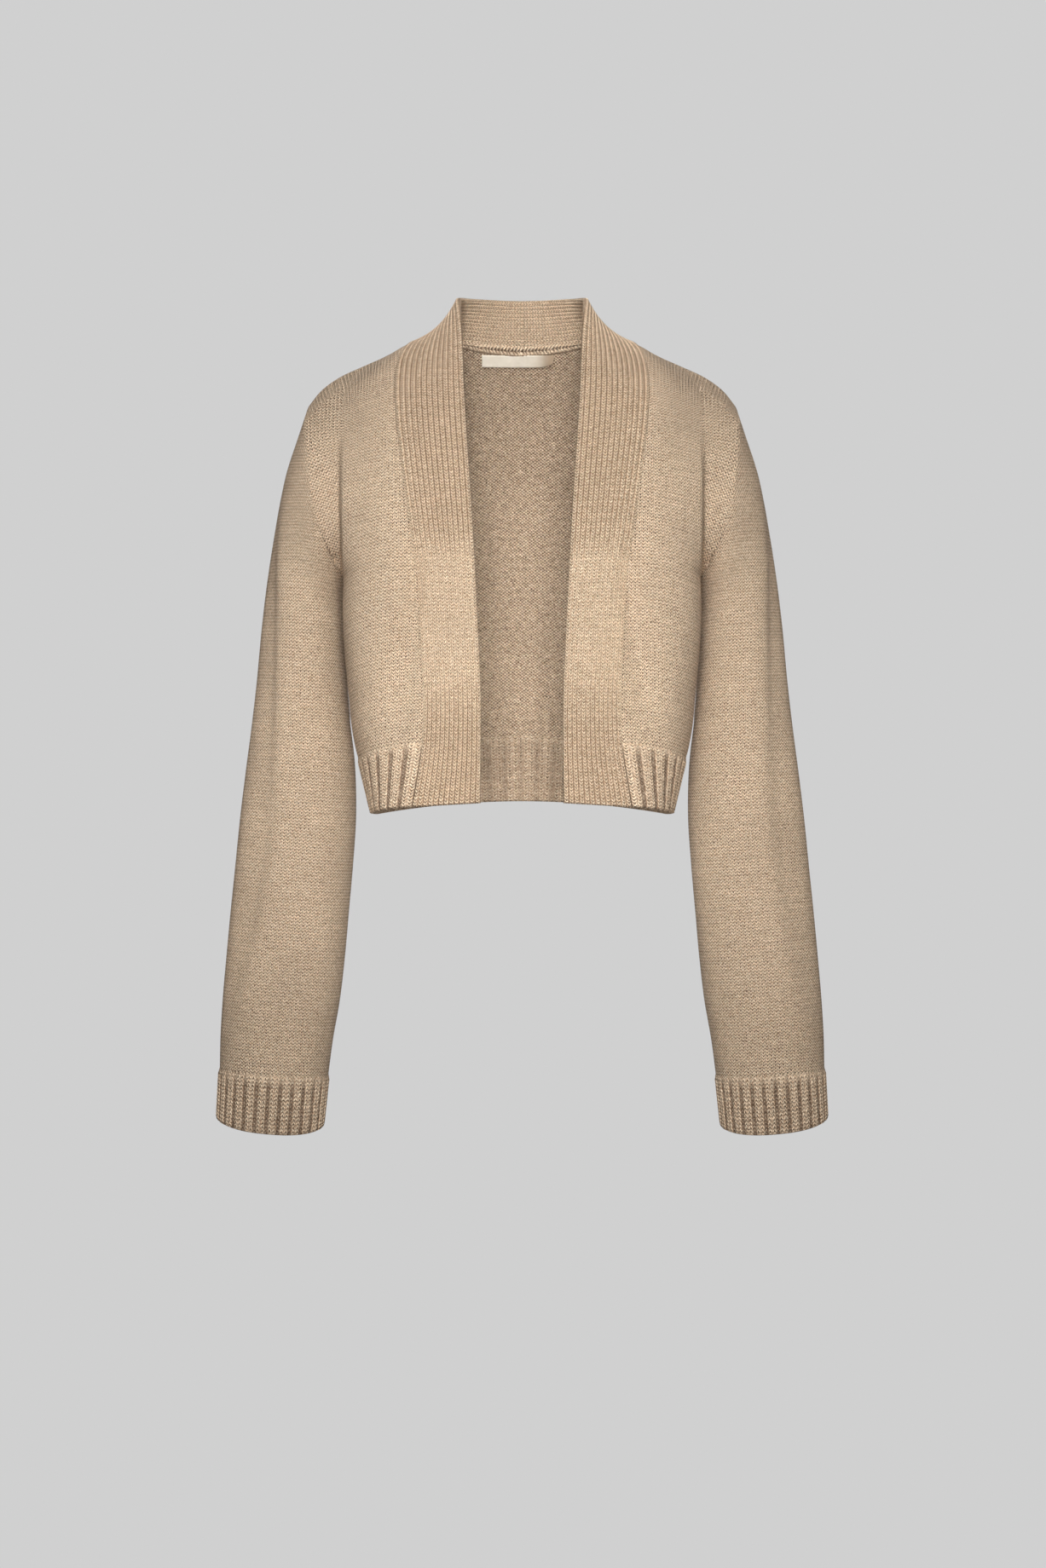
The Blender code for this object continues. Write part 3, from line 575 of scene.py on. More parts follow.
def with_top(grid, top, rows):
    """Moves the last row of points onto the given ones, and those before it ever less and
    ever more smoothly."""
    moved = grid.copy()
    off = top - grid[-1]
    count = len(grid)
    for step in range(rows):
        moved[count - 1 - step] += (1 - ease(step, 0, rows)) * off
        for _ in range(2 * FINE):
            off[1:-1] = (off[:-2] + 2 * off[1:-1] + off[2:]) / 4
    return moved


def front_grid():
    """The front from the band to the side, hem rib to shoulder."""
    lower = band_seam(RIB_TOP_ROW, ARMPIT_ROW, LOWER_CELLS)
    starts = joined(lower, band_seam(ARMPIT_ROW, SHOULDER_ROW, YOKE_CELLS))
    ends = joined(side_seam(SIDE_RIB_TOP, SIDE[-1].z, LOWER_CELLS), armhole("front_y"))
    across = 1 - (1 - np.linspace(0, 1, SHOULDER_CELLS + 1)) ** SIDE_CROWDING
    rows = []
    for index, (start, end) in enumerate(zip(starts, ends)):
        yoke = ease(index, LOWER_CELLS, LOWER_CELLS + FRONT_YOKE_ROWS)
        side = side_at(end[2])
        corner = side.front_corner + yoke * (FRONT_YOKE_CORNER - side.front_corner)
        rows.append(bend(start, end, corner, side.front_swell * (1 - yoke), across))
    grid = with_top(np.array(rows), shoulder_seam(), FRONT_TOP_ROWS)
    finer = np.arange(2 * FINER_FROM, 2 * SHOULDER_CELLS + 1) / 2
    columns = np.concatenate([np.arange(FINER_FROM), finer])
    grid = read_at(grid, np.arange(len(grid)), columns)
    return creased(armpit_fold(grid), FRONT_CREASES, 1)


def armpit_fold(grid):
    """Lifts the front a little up to the fold beside the armhole, and sets back the strip
    between the fold and the armhole."""
    depth = 1 - ease(grid[..., 2], ARMPIT_FOLD_FULL, ARMPIT_FOLD_TOP)
    base = ease(grid[..., 2], ARMPIT_FOLD_BASE, ARMPIT_FOLD_LOW)
    behind = ease(ARMPIT_FOLD_X - grid[..., 0], *ARMPIT_FOLD_LIP)
    armhole_z = [row.z for row in reversed(ARMHOLE)]
    armhole_y = [row.front_y for row in reversed(ARMHOLE)]
    seam_y = np.interp(grid[..., 2], armhole_z, armhole_y)
    pressed = grid.copy()
    near = np.exp(-(((grid[..., 0] - ARMPIT_FOLD_X) / ARMPIT_RIDGE_WIDTH) ** 2))
    pressed[..., 1] -= ARMPIT_RIDGE * near * depth * ease(grid[..., 2], *ARMPIT_RIDGE_ENDS)
    pressed[..., 1] += depth * base * behind * np.maximum(seam_y - pressed[..., 1], 0)
    return pressed


def crease(rows, at, place):
    """How deep a crease is at places beside it. Its fourth value is its width past its
    line, and its fifth is that before it."""
    rows = np.array(sorted(rows), float)
    at = np.clip(at, rows[0, 0], rows[-1, 0])
    _, line, depth, after, before = np.moveaxis(through(rows[:, 0], rows, at), -1, 0)
    past = place - line
    width = np.where(past > 0, after, before)
    return np.maximum(depth, 0) * np.exp(-((past / width) ** 2))


def creased(grid, creases, inward_y):
    """Presses the body's soft creases into its front, whose inward way is +Y, or into its
    back, whose inward way is -Y."""
    pressed = grid.copy()
    for rows in creases:
        pressed[..., 1] += inward_y * crease(rows, grid[..., 2], -np.abs(grid[..., 0]))
    return pressed


def back_grid():
    """Half the back from the side to the centre, hem rib to shoulder and neck."""
    starts = joined(side_seam(SIDE_RIB_TOP, SIDE[-1].z, LOWER_CELLS), armhole("back_y"))
    knots = [row.z for row in BACK]
    lower = np.linspace(BACK_RIB_TOP, SIDE[-1].z, LOWER_CELLS + 1)
    z = joined(lower, np.linspace(SIDE[-1].z, knots[-1], YOKE_CELLS + 1))
    ends = np.stack([np.zeros_like(z), through(knots, [row.y for row in BACK], z), z], axis=1)
    neck = band_seam(SHOULDER_ROW, BACK_ROW, NECK_CELLS)
    ends[-1] = neck[-1]
    across = joined(np.linspace(0, 0.5, SHOULDER_CELLS + 1), np.linspace(0.5, 1, NECK_CELLS + 1))
    rows = []
    for index, (start, end) in enumerate(zip(starts, ends)):
        yoke = ease(index, LOWER_CELLS, LOWER_CELLS + BACK_YOKE_ROWS)
        corner = side_at(start[2]).back_corner
        corner = corner + yoke * (BACK_YOKE_CORNER - corner)
        rows.append(bend(start, end, corner, 0, across))
    top = joined(shoulder_seam()[::-1], neck)
    return creased(with_top(np.array(rows), top, BACK_TOP_ROWS), BACK_CREASES, -1)


def sleeve_ring(row, turn):
    """One ring of the sleeve: turn is 0 on its outer line, half way on its inner one."""
    angle = 2 * np.pi * turn
    power = 2 / SLEEVE_SQUARENESS
    along = np.sign(np.cos(angle)) * np.abs(np.cos(angle)) ** power
    forward = np.sign(np.sin(angle)) * np.abs(np.sin(angle)) ** power
    share = (1 - along) / 2
    x = row.outer_x + share * (row.inner_x - row.outer_x)
    z = row.outer_z + share * (row.inner_z - row.outer_z)
    return np.stack([x, row.centre_y - row.half_depth * forward, z], axis=1)


def even_ring(ring, cells):
    """The ring's points spread evenly on each half, between the outer and inner line."""
    half = len(ring) // 2
    shares = np.linspace(0, 1, cells + 1)
    front = line_at(ring[: half + 1], shares)
    back = line_at(np.concatenate([ring[half:], ring[:1]]), shares)
    return joined(front, back)[:-1]


def sleeve_grid():
    """Rings of points from the armhole seam down to the cuff."""
    rows = np.array(SLEEVE, float)
    along = lengths(rows[:, [0, 1]])
    stations = np.linspace(0, 1, SLEEVE_CELLS + 1)
    rings = [SleeveRow(*row) for row in through(along / along[-1], rows, stations)]
    turn = np.arange(DENSE) / DENSE
    grid = np.array([even_ring(sleeve_ring(ring, turn), YOKE_CELLS) for ring in rings])
    seam = joined(armhole("front_y")[::-1], armhole("back_y"))[:-1]
    share = 1 - ease(stations, 0, CAP_LENGTH)
    grid = grid + share[:, None, None] * (seam - grid[0])
    turn = np.arange(grid.shape[1]) / grid.shape[1]
    pressed = sum(crease(rows, stations[:, None], turn) for rows in SLEEVE_CREASES)
    return grid - grid_normals(grid, wrap=True) * pressed[..., None]


def whole(half):
    """A half that ends on the centre line, with its mirror image after it."""
    other = half[..., ::-1, :][..., 1:, :] * np.array([-1.0, 1.0, 1.0])
    return np.concatenate([half, other], axis=-2)


def read_at(grid, rows, columns):
    """The grid's values at places between its rows and columns."""
    for axis, places in ((0, rows), (1, columns)):
        low = np.clip(np.floor(places).astype(int), 0, grid.shape[axis] - 2)
        part = (places - low).reshape([-1, 1, 1] if axis == 0 else [1, -1, 1])
        here = np.take(grid, low, axis=axis)
        there = np.take(grid, low + 1, axis=axis)
        grid = here + part * (there - here)
    return grid


def fullness(places, end, cell, edges):
    """How full the cloth is at places from its first edge to its last one, which are
    counted in cells of a size."""
    full = 1.0
    for edge, distance in zip(edges, (places, end - places)):
        full = full * (edge + (1 - edge) * np.interp(distance * cell, EDGE_REACH, EDGE_SHARE))
    return full


def edge_places(count, cell, edges):
    """Line numbers with a few more lines beside each edge, and how full the cloth is."""
    reach = np.array(EDGE_REACH) / cell
    inner = np.arange(count, dtype=float)
    inner = inner[(inner > reach[-1]) & (inner < count - 1 - reach[-1])]
    places = np.sort(np.concatenate([inner, reach, count - 1 - reach]))
    return places, fullness(places, count - 1, cell, edges)


def two_faces(grid, normals, cloth, full, rise=0.0):
    """The outer and the inner face of the cloth about its middle."""
    middle = grid - normals * cloth / 2
    half = normals * ((cloth / 2 + rise) * full)[..., None]
    return middle + half, middle - half


class Wall:
    """A closed piece of cloth: an outer and an inner grid of points, the wale and course
    numbers of their stitches, and the painted shade at each point. Where the run of the
    stitches breaks, a region number for each cell says which of the sets it takes."""

    def __init__(
        self, faces, stitch_sets, wrap=False, wrap_wales=0, purl_inside=True, painted_shade=None, regions=None
    ):
        self.faces = faces
        self.stitch_sets = stitch_sets
        self.wrap = wrap
        self.wrap_wales = wrap_wales
        self.purl_inside = purl_inside
        self.painted_shade = painted_shade or [np.ones(face.shape[:2]) for face in faces]
        self.regions = regions

    def closed(self, grid, step=0.0):
        """The grid, with its first column again after its last if the cloth is a tube."""
        if not self.wrap:
            return grid
        return np.concatenate([grid, grid[:, :1] + step], axis=1)


def cells(grid):
    """The values at the four corners of each cell of a grid."""
    corners = [grid[:-1, :-1], grid[1:, :-1], grid[1:, 1:], grid[:-1, 1:]]
    return np.stack(corners, axis=2).reshape((-1, 4) + grid.shape[2:])


def closed_cells(outer, inner, wrap):
    """The corners of all cells of a piece: its two faces, then its rims."""
    found = [cells(outer), cells(inner)[:, ::-1]]
    found.append(cells(np.stack([inner[0], outer[0]])))
    found.append(cells(np.stack([outer[-1], inner[-1]])))
    if not wrap:
        found.append(cells(np.stack([outer[:, 0], inner[:, 0]])))
        found.append(cells(np.stack([inner[:, -1], outer[:, -1]])))
    return found


def stitch_corners(wall):
    """The stitch numbers at the corners of all cells. The third is 1 on a purl face."""
    step = np.array([wall.wrap_wales, 0.0, 0.0])
    made = []
    for pair in wall.stitch_sets:
        grids = []
        for lines, back in zip(pair, (0.0, float(wall.purl_inside))):
            backs = np.full(lines.shape[:2] + (1,), back)
            grids.append(wall.closed(np.concatenate([lines, backs], axis=-1), step))
        made.append(closed_cells(*grids, wall.wrap))
    corners = made[0]
    for number, other in enumerate(made[1:], start=1):
        chosen = wall.regions.ravel() == number
        for side in (0, 1):
            corners[side][chosen] = other[side][chosen]
    return np.concatenate(corners)


def make_piece(name, wall, material, node, mirror=False):
    """The wall as a mesh that takes the place of a node, with its stitches written on it."""
    count = wall.faces[0].shape[0] * wall.faces[0].shape[1]
    index = np.arange(count).reshape(wall.faces[0].shape[:2])
    index = [wall.closed(index + side * count, 0) for side in (0, 1)]
    faces = np.concatenate(closed_cells(*index, wall.wrap))
    points = np.concatenate([face.reshape(-1, 3) for face in wall.faces]) * MM
    stitches = stitch_corners(wall)
    if mirror:
        points = points * [-1.0, 1.0, 1.0]
        faces = faces[:, ::-1]
        stitches = stitches[:, ::-1] * [-1.0, 1.0, 1.0]
    # The painted shade at each point, darker in grooves, between cords and at the label's curled end.
    painted_shade = np.concatenate([shade.ravel() for shade in wall.painted_shade])
    mesh = bpy.data.meshes.new(name)
    mesh.from_pydata(points.tolist(), [], faces.tolist())
    written = mesh.attributes.new("stitches", "FLOAT_VECTOR", "CORNER")
    written.data.foreach_set("vector", stitches.astype(np.float32).ravel())
    written = mesh.attributes.new("painted_shade", "FLOAT", "POINT")
    written.data.foreach_set("value", painted_shade.astype(np.float32))
    mesh.shade_smooth()
    mesh.materials.append(material)
    piece = bpy.data.objects.new(name, mesh)
    bpy.context.scene.collection.objects.link(piece)
    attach(piece, "root")
    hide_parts(node)


def plain_wall(grid, stitch_sets, regions, edges, wrap=False):
    """A panel of plain knit. Edges says how full the cloth is at its first and last row,
    and its first and last column."""
    row_cell = np.median(np.linalg.norm(np.diff(grid, axis=0), axis=-1))
    rows, row_full = edge_places(len(grid), row_cell, edges[:2])
    normals = grid_normals(grid, wrap)
    if wrap:
        columns = np.arange(grid.shape[1], dtype=float)
        column_full = np.ones_like(columns)
    else:
        column_cell = np.median(np.linalg.norm(np.diff(grid, axis=1), axis=-1))
        columns, column_full = edge_places(grid.shape[1], column_cell, edges[2:])
    full = row_full[:, None] * column_full[None, :]
    grid, normals = (read_at(part, rows, columns) for part in (grid, normals))
    faces = two_faces(grid, unit(normals), CLOTH, full)
    sets = [read_at(lines, rows, columns) for lines in stitch_sets]
    if regions is not None:
        row_middles = np.floor((rows[:-1] + rows[1:]) / 2).astype(int)
        column_middles = np.floor((columns[:-1] + columns[1:]) / 2).astype(int)
        if wrap:
            column_middles = np.append(column_middles, grid.shape[1] - 1)
        regions = regions[row_middles][:, column_middles]
    return Wall(faces, [(lines, lines) for lines in sets], wrap, regions=regions)


def across_from(grid, column):
    """The distance along each row from one of its columns."""
    along = lengths(np.swapaxes(grid, 0, 1)).T
    return along - along[:, [column]]


def numbered(wales, courses):
    """Wale and course numbers as one grid."""
    return np.stack(np.broadcast_arrays(wales, courses), axis=-1)


def front_stitches(grid):
    """The sets of wale and course numbers, and the region of each cell. Wales run straight
    up from the hem rib, apart from a few beside the lower part of the band, which run
    along it, and those past the fold by the armhole, which lean toward the fold."""
    from_band = across_from(grid, 0)
    upright = [np.interp(-UPRIGHT_WALE_X, -x, along) for x, along in zip(grid[..., 0], from_band)]
    straight = from_band - np.array(upright)[:, None]
    past = (grid[..., 0] < ARMPIT_FOLD_X) & (grid[:, -1:, 2] > ARMPIT_FOLD_BASE)
    past &= grid[:, -1:, 2] < ARMPIT_FOLD_TOP
    reach = BESIDE_BAND_WALES * WALE * (1 - ease(grid[:, :1, 2], *BESIDE_BAND_ENDS))
    regions = np.where(past, 2, np.where(from_band < reach, 1, 0))
    up = lengths(grid)
    height = np.linspace(ARMHOLE[-1].z, ARMHOLE[0].z, DENSE)
    lean = ARMPIT_LEAN * (1 - ease(height, *ARMPIT_LEAN_ENDS))
    shift = np.cumsum(np.tan(lean)[::-1])[::-1] * (height[1] - height[0])
    leaning = np.interp(grid[..., 2], height, shift) - grid[..., 0]
    lean = np.interp(grid[..., 2], height, lean)
    past_x, past_z = grid[..., 0] - ARMPIT_MIDDLE[0], grid[..., 2] - ARMPIT_MIDDLE[1]
    sloped = past_z * np.cos(lean) - past_x * np.sin(lean)
    ways = ((straight, up), (from_band, up), (leaning, sloped))
    return [numbered(wide / WALE, high / COURSE) for wide, high in ways], regions


def back_stitches(grid):
    """Wales count both ways from the centre back, and courses up from the hem rib."""
    wide = across_from(grid, grid.shape[1] // 2)
    return [numbered(wide / WALE, lengths(grid) / COURSE)], None


def sleeve_stitches(grid):
    """Wales count from the outer line both ways round, and courses up from the cuff."""
    closed = np.concatenate([grid, grid[:, :1]], axis=1)
    along = across_from(closed, 0)
    cap = int(CAP_LENGTH * SLEEVE_CELLS)
    along[:cap] = along[cap]
    forward = along[:, :-1]
    backward = forward - along[:, -1:]
    backward[:, 0] = 0
    up = lengths(grid)
    up = (up[-1:] - up) / COURSE
    regions = np.zeros(grid.shape[:2], int)
    regions[:, grid.shape[1] // 2 :] = 1
    return [numbered(way / WALE, up) for way in (forward, backward)], regions


def slid(values, rows):
    """Each column of values read so many rows further along it."""
    count = len(values)
    places = np.arange(count)[:, None] + rows
    low = np.clip(np.floor(places).astype(int), 0, count - 2)
    part = np.clip(places - low, 0, 1)[..., None]
    columns = np.arange(values.shape[1])[None, :]
    return values[low, columns] + part * (values[low + 1, columns] - values[low, columns])


def rib_columns(pattern, ribs, offset, wrap):
    """The place of each line of stitches, counted in ribs, and its row of the pattern."""
    place = np.arange(-1, ribs + 1)[:, None] + [line.place + offset for line in pattern]
    place = np.round(place.ravel(), PLACE_DIGITS)
    lines = np.tile(np.array(pattern, float), (ribs + 2, 1))
    keep = (place >= 0) & ((place < ribs) if wrap else (place <= ribs))
    return place[keep], lines[keep]


def wales_a_rib(pattern):
    """How many wales a rib takes, its groove's too."""
    return np.ceil(pattern[-1].wale)


RibFace = namedtuple("RibFace", "grid normals rise stitches shade place")


def rib_face(surface, kind, ribs, offset, strength, wrap):
    """One face of a rib, whose pattern starts at an offset: its points, their outward
    directions, rise, stitch numbers and painted shade, and the place of each column in ribs."""
    place, lines = rib_columns(kind.pattern, ribs, offset, wrap)
    height, lift, bulge, wale = lines[:, 1:].T
    grid = surface(place / ribs)
    count = np.arange(len(grid))
    loose = np.clip(np.minimum(count, count[::-1]) / (2 * ROWS_A_COURSE), 0, 1)
    slide = loose[:, None] * lift * ROWS_A_COURSE
    strength = strength[:, None]
    level = 1 - strength * (1 - height)
    stitch = bulge * STITCH_PHASES[count % ROWS_A_COURSE][:, None]
    rise = kind.rise * level * np.minimum(strength / RIB_WHOLE, 1) + STITCH_DEPTH * stitch
    # Painted shade: dark down in the grooves, paler on the ridges and on the swelling stitches.
    groove = np.minimum(strength, GROOVE_DARKEST) * (1 - height) ** GROOVE_SHARPNESS
    shade = RIDGE_SHADE + RIDGE_PALER * np.abs(strength - 1) - groove + STITCH_SHADE * stitch
    wales = np.floor(place - offset + NEARLY) * wales_a_rib(kind.pattern) + wale
    stitches = numbered(wales, (count[:, None] + slide) / ROWS_A_COURSE)
    normals = unit(slid(grid_normals(grid, wrap), slide))
    return RibFace(slid(grid, slide), normals, rise, stitches, np.clip(shade, 0, 1), place)


def rib_wall(surface, kind, ribs, strength, edges, wrap=False):
    """A ribbed piece. The inner face has its ribs where the outer one has grooves."""
    offsets = (0.0, 1 - kind.pattern[len(kind.pattern) // 2].place)
    faces = [rib_face(surface, kind, ribs, offset, strength, wrap) for offset in offsets]
    last = len(strength) - 1
    row_full = fullness(np.arange(last + 1), last, COURSE / ROWS_A_COURSE, edges[:2])
    points = []
    for side, (grid, normals, rise, _, _, place) in enumerate(faces):
        full = row_full[:, None] * np.ones_like(place)
        if not wrap:
            width = np.median(np.linalg.norm(grid[:, -1] - grid[:, 0], axis=-1)) / ribs
            full *= fullness(place, ribs, width, edges[2:])
        points.append(two_faces(grid, normals, kind.cloth, full, rise)[side])
    outer, inner = faces
    return Wall(
        points,
        [(outer.stitches, inner.stitches)],
        wrap,
        wrap_wales=ribs * wales_a_rib(kind.pattern),
        purl_inside=False,
        painted_shade=[outer.shade, 1 - INSIDE_SHADE * (1 - kind.inner_shade * inner.shade)],
    )


def rows_in(length):
    """How many rows of points the courses in a length take."""
    return round(length / COURSE) * ROWS_A_COURSE


def band_wall():
    """The band, its ribs as strong as they are at each height."""
    stations = np.linspace(0, BAND_ALONG[-1], rows_in(BAND_ALONG[-1]) + 1)

    def surface(across):
        grid = band_surface(stations, across)
        grid[-1, :, 0] = 0
        grid[..., 0] = np.minimum(grid[..., 0], 0)
        return creased(grid, FRONT_CREASES, 1)

    strength = np.interp(stations, GROOVE_AT, GROOVE_STRENGTH)
    edges = (FREE_EDGE, KNITTED_EDGE, FREE_EDGE, KNITTED_EDGE)
    return rib_wall(surface, BAND_RIB, BAND_RIBS, strength, edges)


def ruled(upper, lower, rows):
    """Rows of points from the lower line to the upper one."""
    up = np.linspace(0, 1, rows + 1)[:, None, None]
    return lower + up * (upper - lower)


def rib_strength(rows, fade):
    """Whole ribs that die away over the last courses, toward the plain cloth."""
    left = rows - np.arange(rows + 1)
    return RIB_LEAST + (1 - RIB_LEAST) * ease(left, 0, fade * ROWS_A_COURSE)


def hem_wall(top, bottom, edges, start=None):
    """A hem rib below the line top, its lower edge on the line bottom. Its first edge is
    the line start, where there is one."""
    ribs = round(lengths(bottom)[-1] / HEM_PITCH)
    rows = rows_in(np.linalg.norm(top[len(top) // 2] - bottom[len(bottom) // 2]))

    def surface(across):
        grid = ruled(line_at(top, across), line_at(bottom, across), rows)
        if start is not None:
            off = line_at(start, np.linspace(0, 1, rows + 1)) - grid[:, 0]
            grid = grid + (1 - ease(across, 0, HEM_BEND))[None, :, None] * off[:, None]
        return grid

    return rib_wall(surface, HEM_RIB, ribs, rib_strength(rows, HEM_FADE), edges)


def hem_walls(front, back):
    """The hems of one front and of the back, whose lower edges meet at the side seam."""
    foot = SIDE[0]
    side = np.array([foot.x, foot.y, foot.z], float)
    centre = np.array([0.0, BACK[0].y, BACK[0].z])
    start = band_seam(HEM_ROW, RIB_TOP_ROW, DENSE)
    across = np.linspace(0, 1, DENSE)
    front_edge = bend(start[0], side, foot.front_corner, foot.front_swell, across)
    back_edge = whole(bend(side, centre, foot.back_corner, 0, across))
    edges = (FREE_EDGE, KNITTED_EDGE, KNITTED_EDGE, SEAM_EDGE)
    front_hem = hem_wall(front[0], front_edge, edges, start)
    edges = (FREE_EDGE, KNITTED_EDGE, SEAM_EDGE, SEAM_EDGE)
    return front_hem, hem_wall(back[0], back_edge, edges)


def at_x(line, x):
    """Points at the given x on the straight runs between a line's points."""
    y = np.interp(x, line[:, 0], line[:, 1])
    z = np.interp(x, line[:, 0], line[:, 2])
    return np.stack([x, y, z], axis=1)


def neck_line(back, x, below):
    """Points of the inside of the back along its neck, and the way down from each to the
    row below."""
    inside = back - grid_normals(back) * CLOTH
    top = at_x(inside[-1], x)
    return top, unit(at_x(inside[below], x) - top)


def laid_on_back(inner, outer, wales, courses, shade):
    """A piece that lies on the inside of the back, from its two faces and its painted shade."""
    lines = numbered(wales, courses)
    painted_shade = [np.broadcast_to(shade, lines.shape[:2])] * 2
    return Wall((inner, outer), [(lines, lines)], purl_inside=False, painted_shade=painted_shade)


def neck_seam_wall(back):
    """The linked ridge inside the seam between the collar and the back: two rows of links
    that sag a little in the middle."""
    cells_along = round(2 * NECK_SEAM_HALF / NECK_SEAM_STEP)
    x = np.linspace(-NECK_SEAM_HALF, NECK_SEAM_HALF, cells_along + 1)
    seam, down = neck_line(back, x, BELOW_NECK_SEAM)
    across = np.linspace(0, 1, NECK_SEAM_LINES)[:, None]
    least, most = NECK_SEAM_BELOW
    below = least + (1 - (x / NECK_SEAM_HALF) ** 2) * (most - least)
    reach = (across * (NECK_SEAM_ABOVE + below) - below)[..., None]
    inner = seam + np.where(reach > 0, [0.0, 0.0, 1.0], -down) * reach
    inner[..., 1] -= SEAM_GAP
    cords = np.abs(np.sin(2 * np.pi * across)) ** CORD_ROUNDNESS
    links = x / CORD_LINK
    stagger = np.where(across > 0.5, CORD_STAGGER, -CORD_STAGGER)
    swell = 1 - CORD_SWELL + CORD_SWELL * np.cos(2 * np.pi * (links + stagger))
    outer = inner.copy()
    outer[..., 1] -= NECK_SEAM_EDGE + (NECK_SEAM_DEPTH - NECK_SEAM_EDGE) * cords * swell
    # Painted shade: dark between and beside the cords, paler on them.
    return laid_on_back(inner, outer, across, links, CORD_SHADE + CORD_PALER * cords)


def label_wall(back):
    """The satin label, flat on the inside of the back but for its curled end."""
    x = np.linspace(*LABEL_ENDS, LABEL_CELLS + 1)
    top, down = neck_line(back, x, BELOW_LABEL)
    share = np.linspace(0, 1, LABEL_LINES)[:, None]
    z = LABEL_BOTTOM + share * (LABEL_TOP - LABEL_BOTTOM)
    inner = top + down * ((top[:, 2] - z) / -down[:, 2])[..., None]
    turned = ease(x, *LABEL_CURL_ENDS)
    inner[..., 0] -= LABEL_DRAWN_IN * turned * (1 - share)
    inner[..., 2] += LABEL_DRAWN_UP * turned * (1 - share)
    curl = LABEL_CURL * turned * (LABEL_CURL_TOP - share)
    wave = LABEL_WAVE * np.sin(x / LABEL_WAVE_LENGTH)
    inner[..., 1] -= LABEL_GAP + LABEL_LIFT * (1 - share) ** 2 + curl + wave
    outer = inner - [0.0, LABEL_CLOTH, 0.0]
    # Painted shade toward the curled end, as it turns away.
    return laid_on_back(inner, outer, x, outer[..., 2], 1 - ease(x, *LABEL_SHADED))


def cuff_wall(sleeve):
    """The cuff below the sleeve's last ring."""
    top = np.concatenate([sleeve[-1], sleeve[-1][:1]])
    ring = even_ring(sleeve_ring(CUFF_BOTTOM, np.arange(DENSE) / DENSE), DENSE // 4)
    bottom = np.concatenate([ring, ring[:1]])
    rows = rows_in(np.linalg.norm(top[0] - bottom[0]))

    def surface(across):
        lower = line_at(bottom, across)
        forward = (CUFF_BOTTOM.centre_y - lower[:, 1]) / CUFF_BOTTOM.half_depth
        lower[:, 2] -= CUFF_FRONT_DROP * forward
        return ruled(line_at(top, across), lower, rows)[::-1]

    strength = rib_strength(rows, CUFF_FADE)[::-1]
    edges = (KNITTED_EDGE, FREE_EDGE)
    return rib_wall(surface, HEM_RIB, CUFF_RIBS, strength, edges, wrap=True)


# The face of plain knit: how many courses an arm of each V rises, how sharply the painted
# shade in the gap between two Vs darkens, how dark it is at a wale's sides and in its
# middle, the painted dark line beside each wale, which is where it begins, its mean
# darkness and its swing along a course, and how pale the face is.
V_RISE = 0.95
GAP_SHARPNESS = 1.1
GAP_PLACES, GAP_DARKNESS = (0.95, 0.1), (0.2, 1.7)
LINE_FROM, LINE_DARKNESS, LINE_SWING = 0.6, 0.56, 0.24
FACE_SHADE = 1.06

# The back of plain knit: how sharp its loops are, how dark its painted shade is between
# them, which also darkens the inside of the garment, and how much paler on them.
LOOP_SHARPNESS = 1.3
PURL_SHADE, PURL_PALER = 0.12, 0.75

# How many courses the stitches stray in all, and what share of that they stray across.
STRAY, STRAY_ACROSS = 0.8, 0.45

# How much the unevenness of the stitches changes their shade and where it turns, and how
# much their fibres change it.
UNEVEN, UNEVEN_SPAN = 0.17, (0.3, 0.7)
FIBRE_SHADE = 0.7

# The heather: how much its strands and its fibres each count, and where it turns pale.
HEATHER_PART, HEATHER_SPAN = 0.6, (0.42, 0.78)

# Its broad patches: how much each of their noises counts, where they turn from the one to
# the other, how dark and pale they are, and their tint.
PATCH_PART, PATCH_SPAN, PATCH_SHADES = 0.5, (0.36, 0.64), (0.9, 1.06)
PATCH_TINT = (1.0, 0.99, 0.975)

# The colours: the painted shade down between the stitches, for plain knit, ribs and the band,
# then the yarn along it, and its palest strands.
PLAIN_PAINTED_SHADE = (0.07, 0.03, 0.011, 1)
RIB_PAINTED_SHADE = (0.09, 0.037, 0.013, 1)
BAND_PAINTED_SHADE = (0.2, 0.12, 0.065, 1)
YARN_COLOUR = (0.8, 0.545, 0.355, 1)
PALE_COLOUR = (1.0, 0.85, 0.655, 1)

# The label's colours, dark and pale, and the painted shade of its curled end, how much its
# threads count beside its clouds, and where they turn.
SATIN_DARK = (0.588, 0.521, 0.42, 1)
SATIN_PALE = (0.722, 0.664, 0.563, 1)
SATIN_PAINTED_SHADE = (0.521, 0.42, 0.336, 1)
THREAD_PART, CLOUD_PART, SATIN_SPAN = 0.3, 0.7, (0.3, 0.7)

# Noises. A scale is one number, or one for each part of the place that they are read at:
# stitch numbers for the yarn, and metres for its fibres, its patches and the label.
Noise = namedtuple("Noise", "scale detail roughness")
STRAY_NOISE = Noise(1.1, 2.0, 0.6)
STRAND_NOISE = Noise((1.9, 1.3, 3.0), 2.0, 0.7)
UNEVEN_NOISE = Noise((0.55, 0.8, 3.0), 1.0, 0.6)
COURSE_NOISE = Noise((0.06, 0.55, 3.0), 2.0, 0.6)
FIBRE_NOISE = Noise(800.0, 2.0, 0.6)
PATCH_NOISE = Noise(16.0, 3.0, 0.5)
THREAD_NOISE = Noise((300.0, 900.0, 2600.0), 2.0, 0.6)
CLOUD_NOISE = Noise(90.0, 2.0, 0.5)

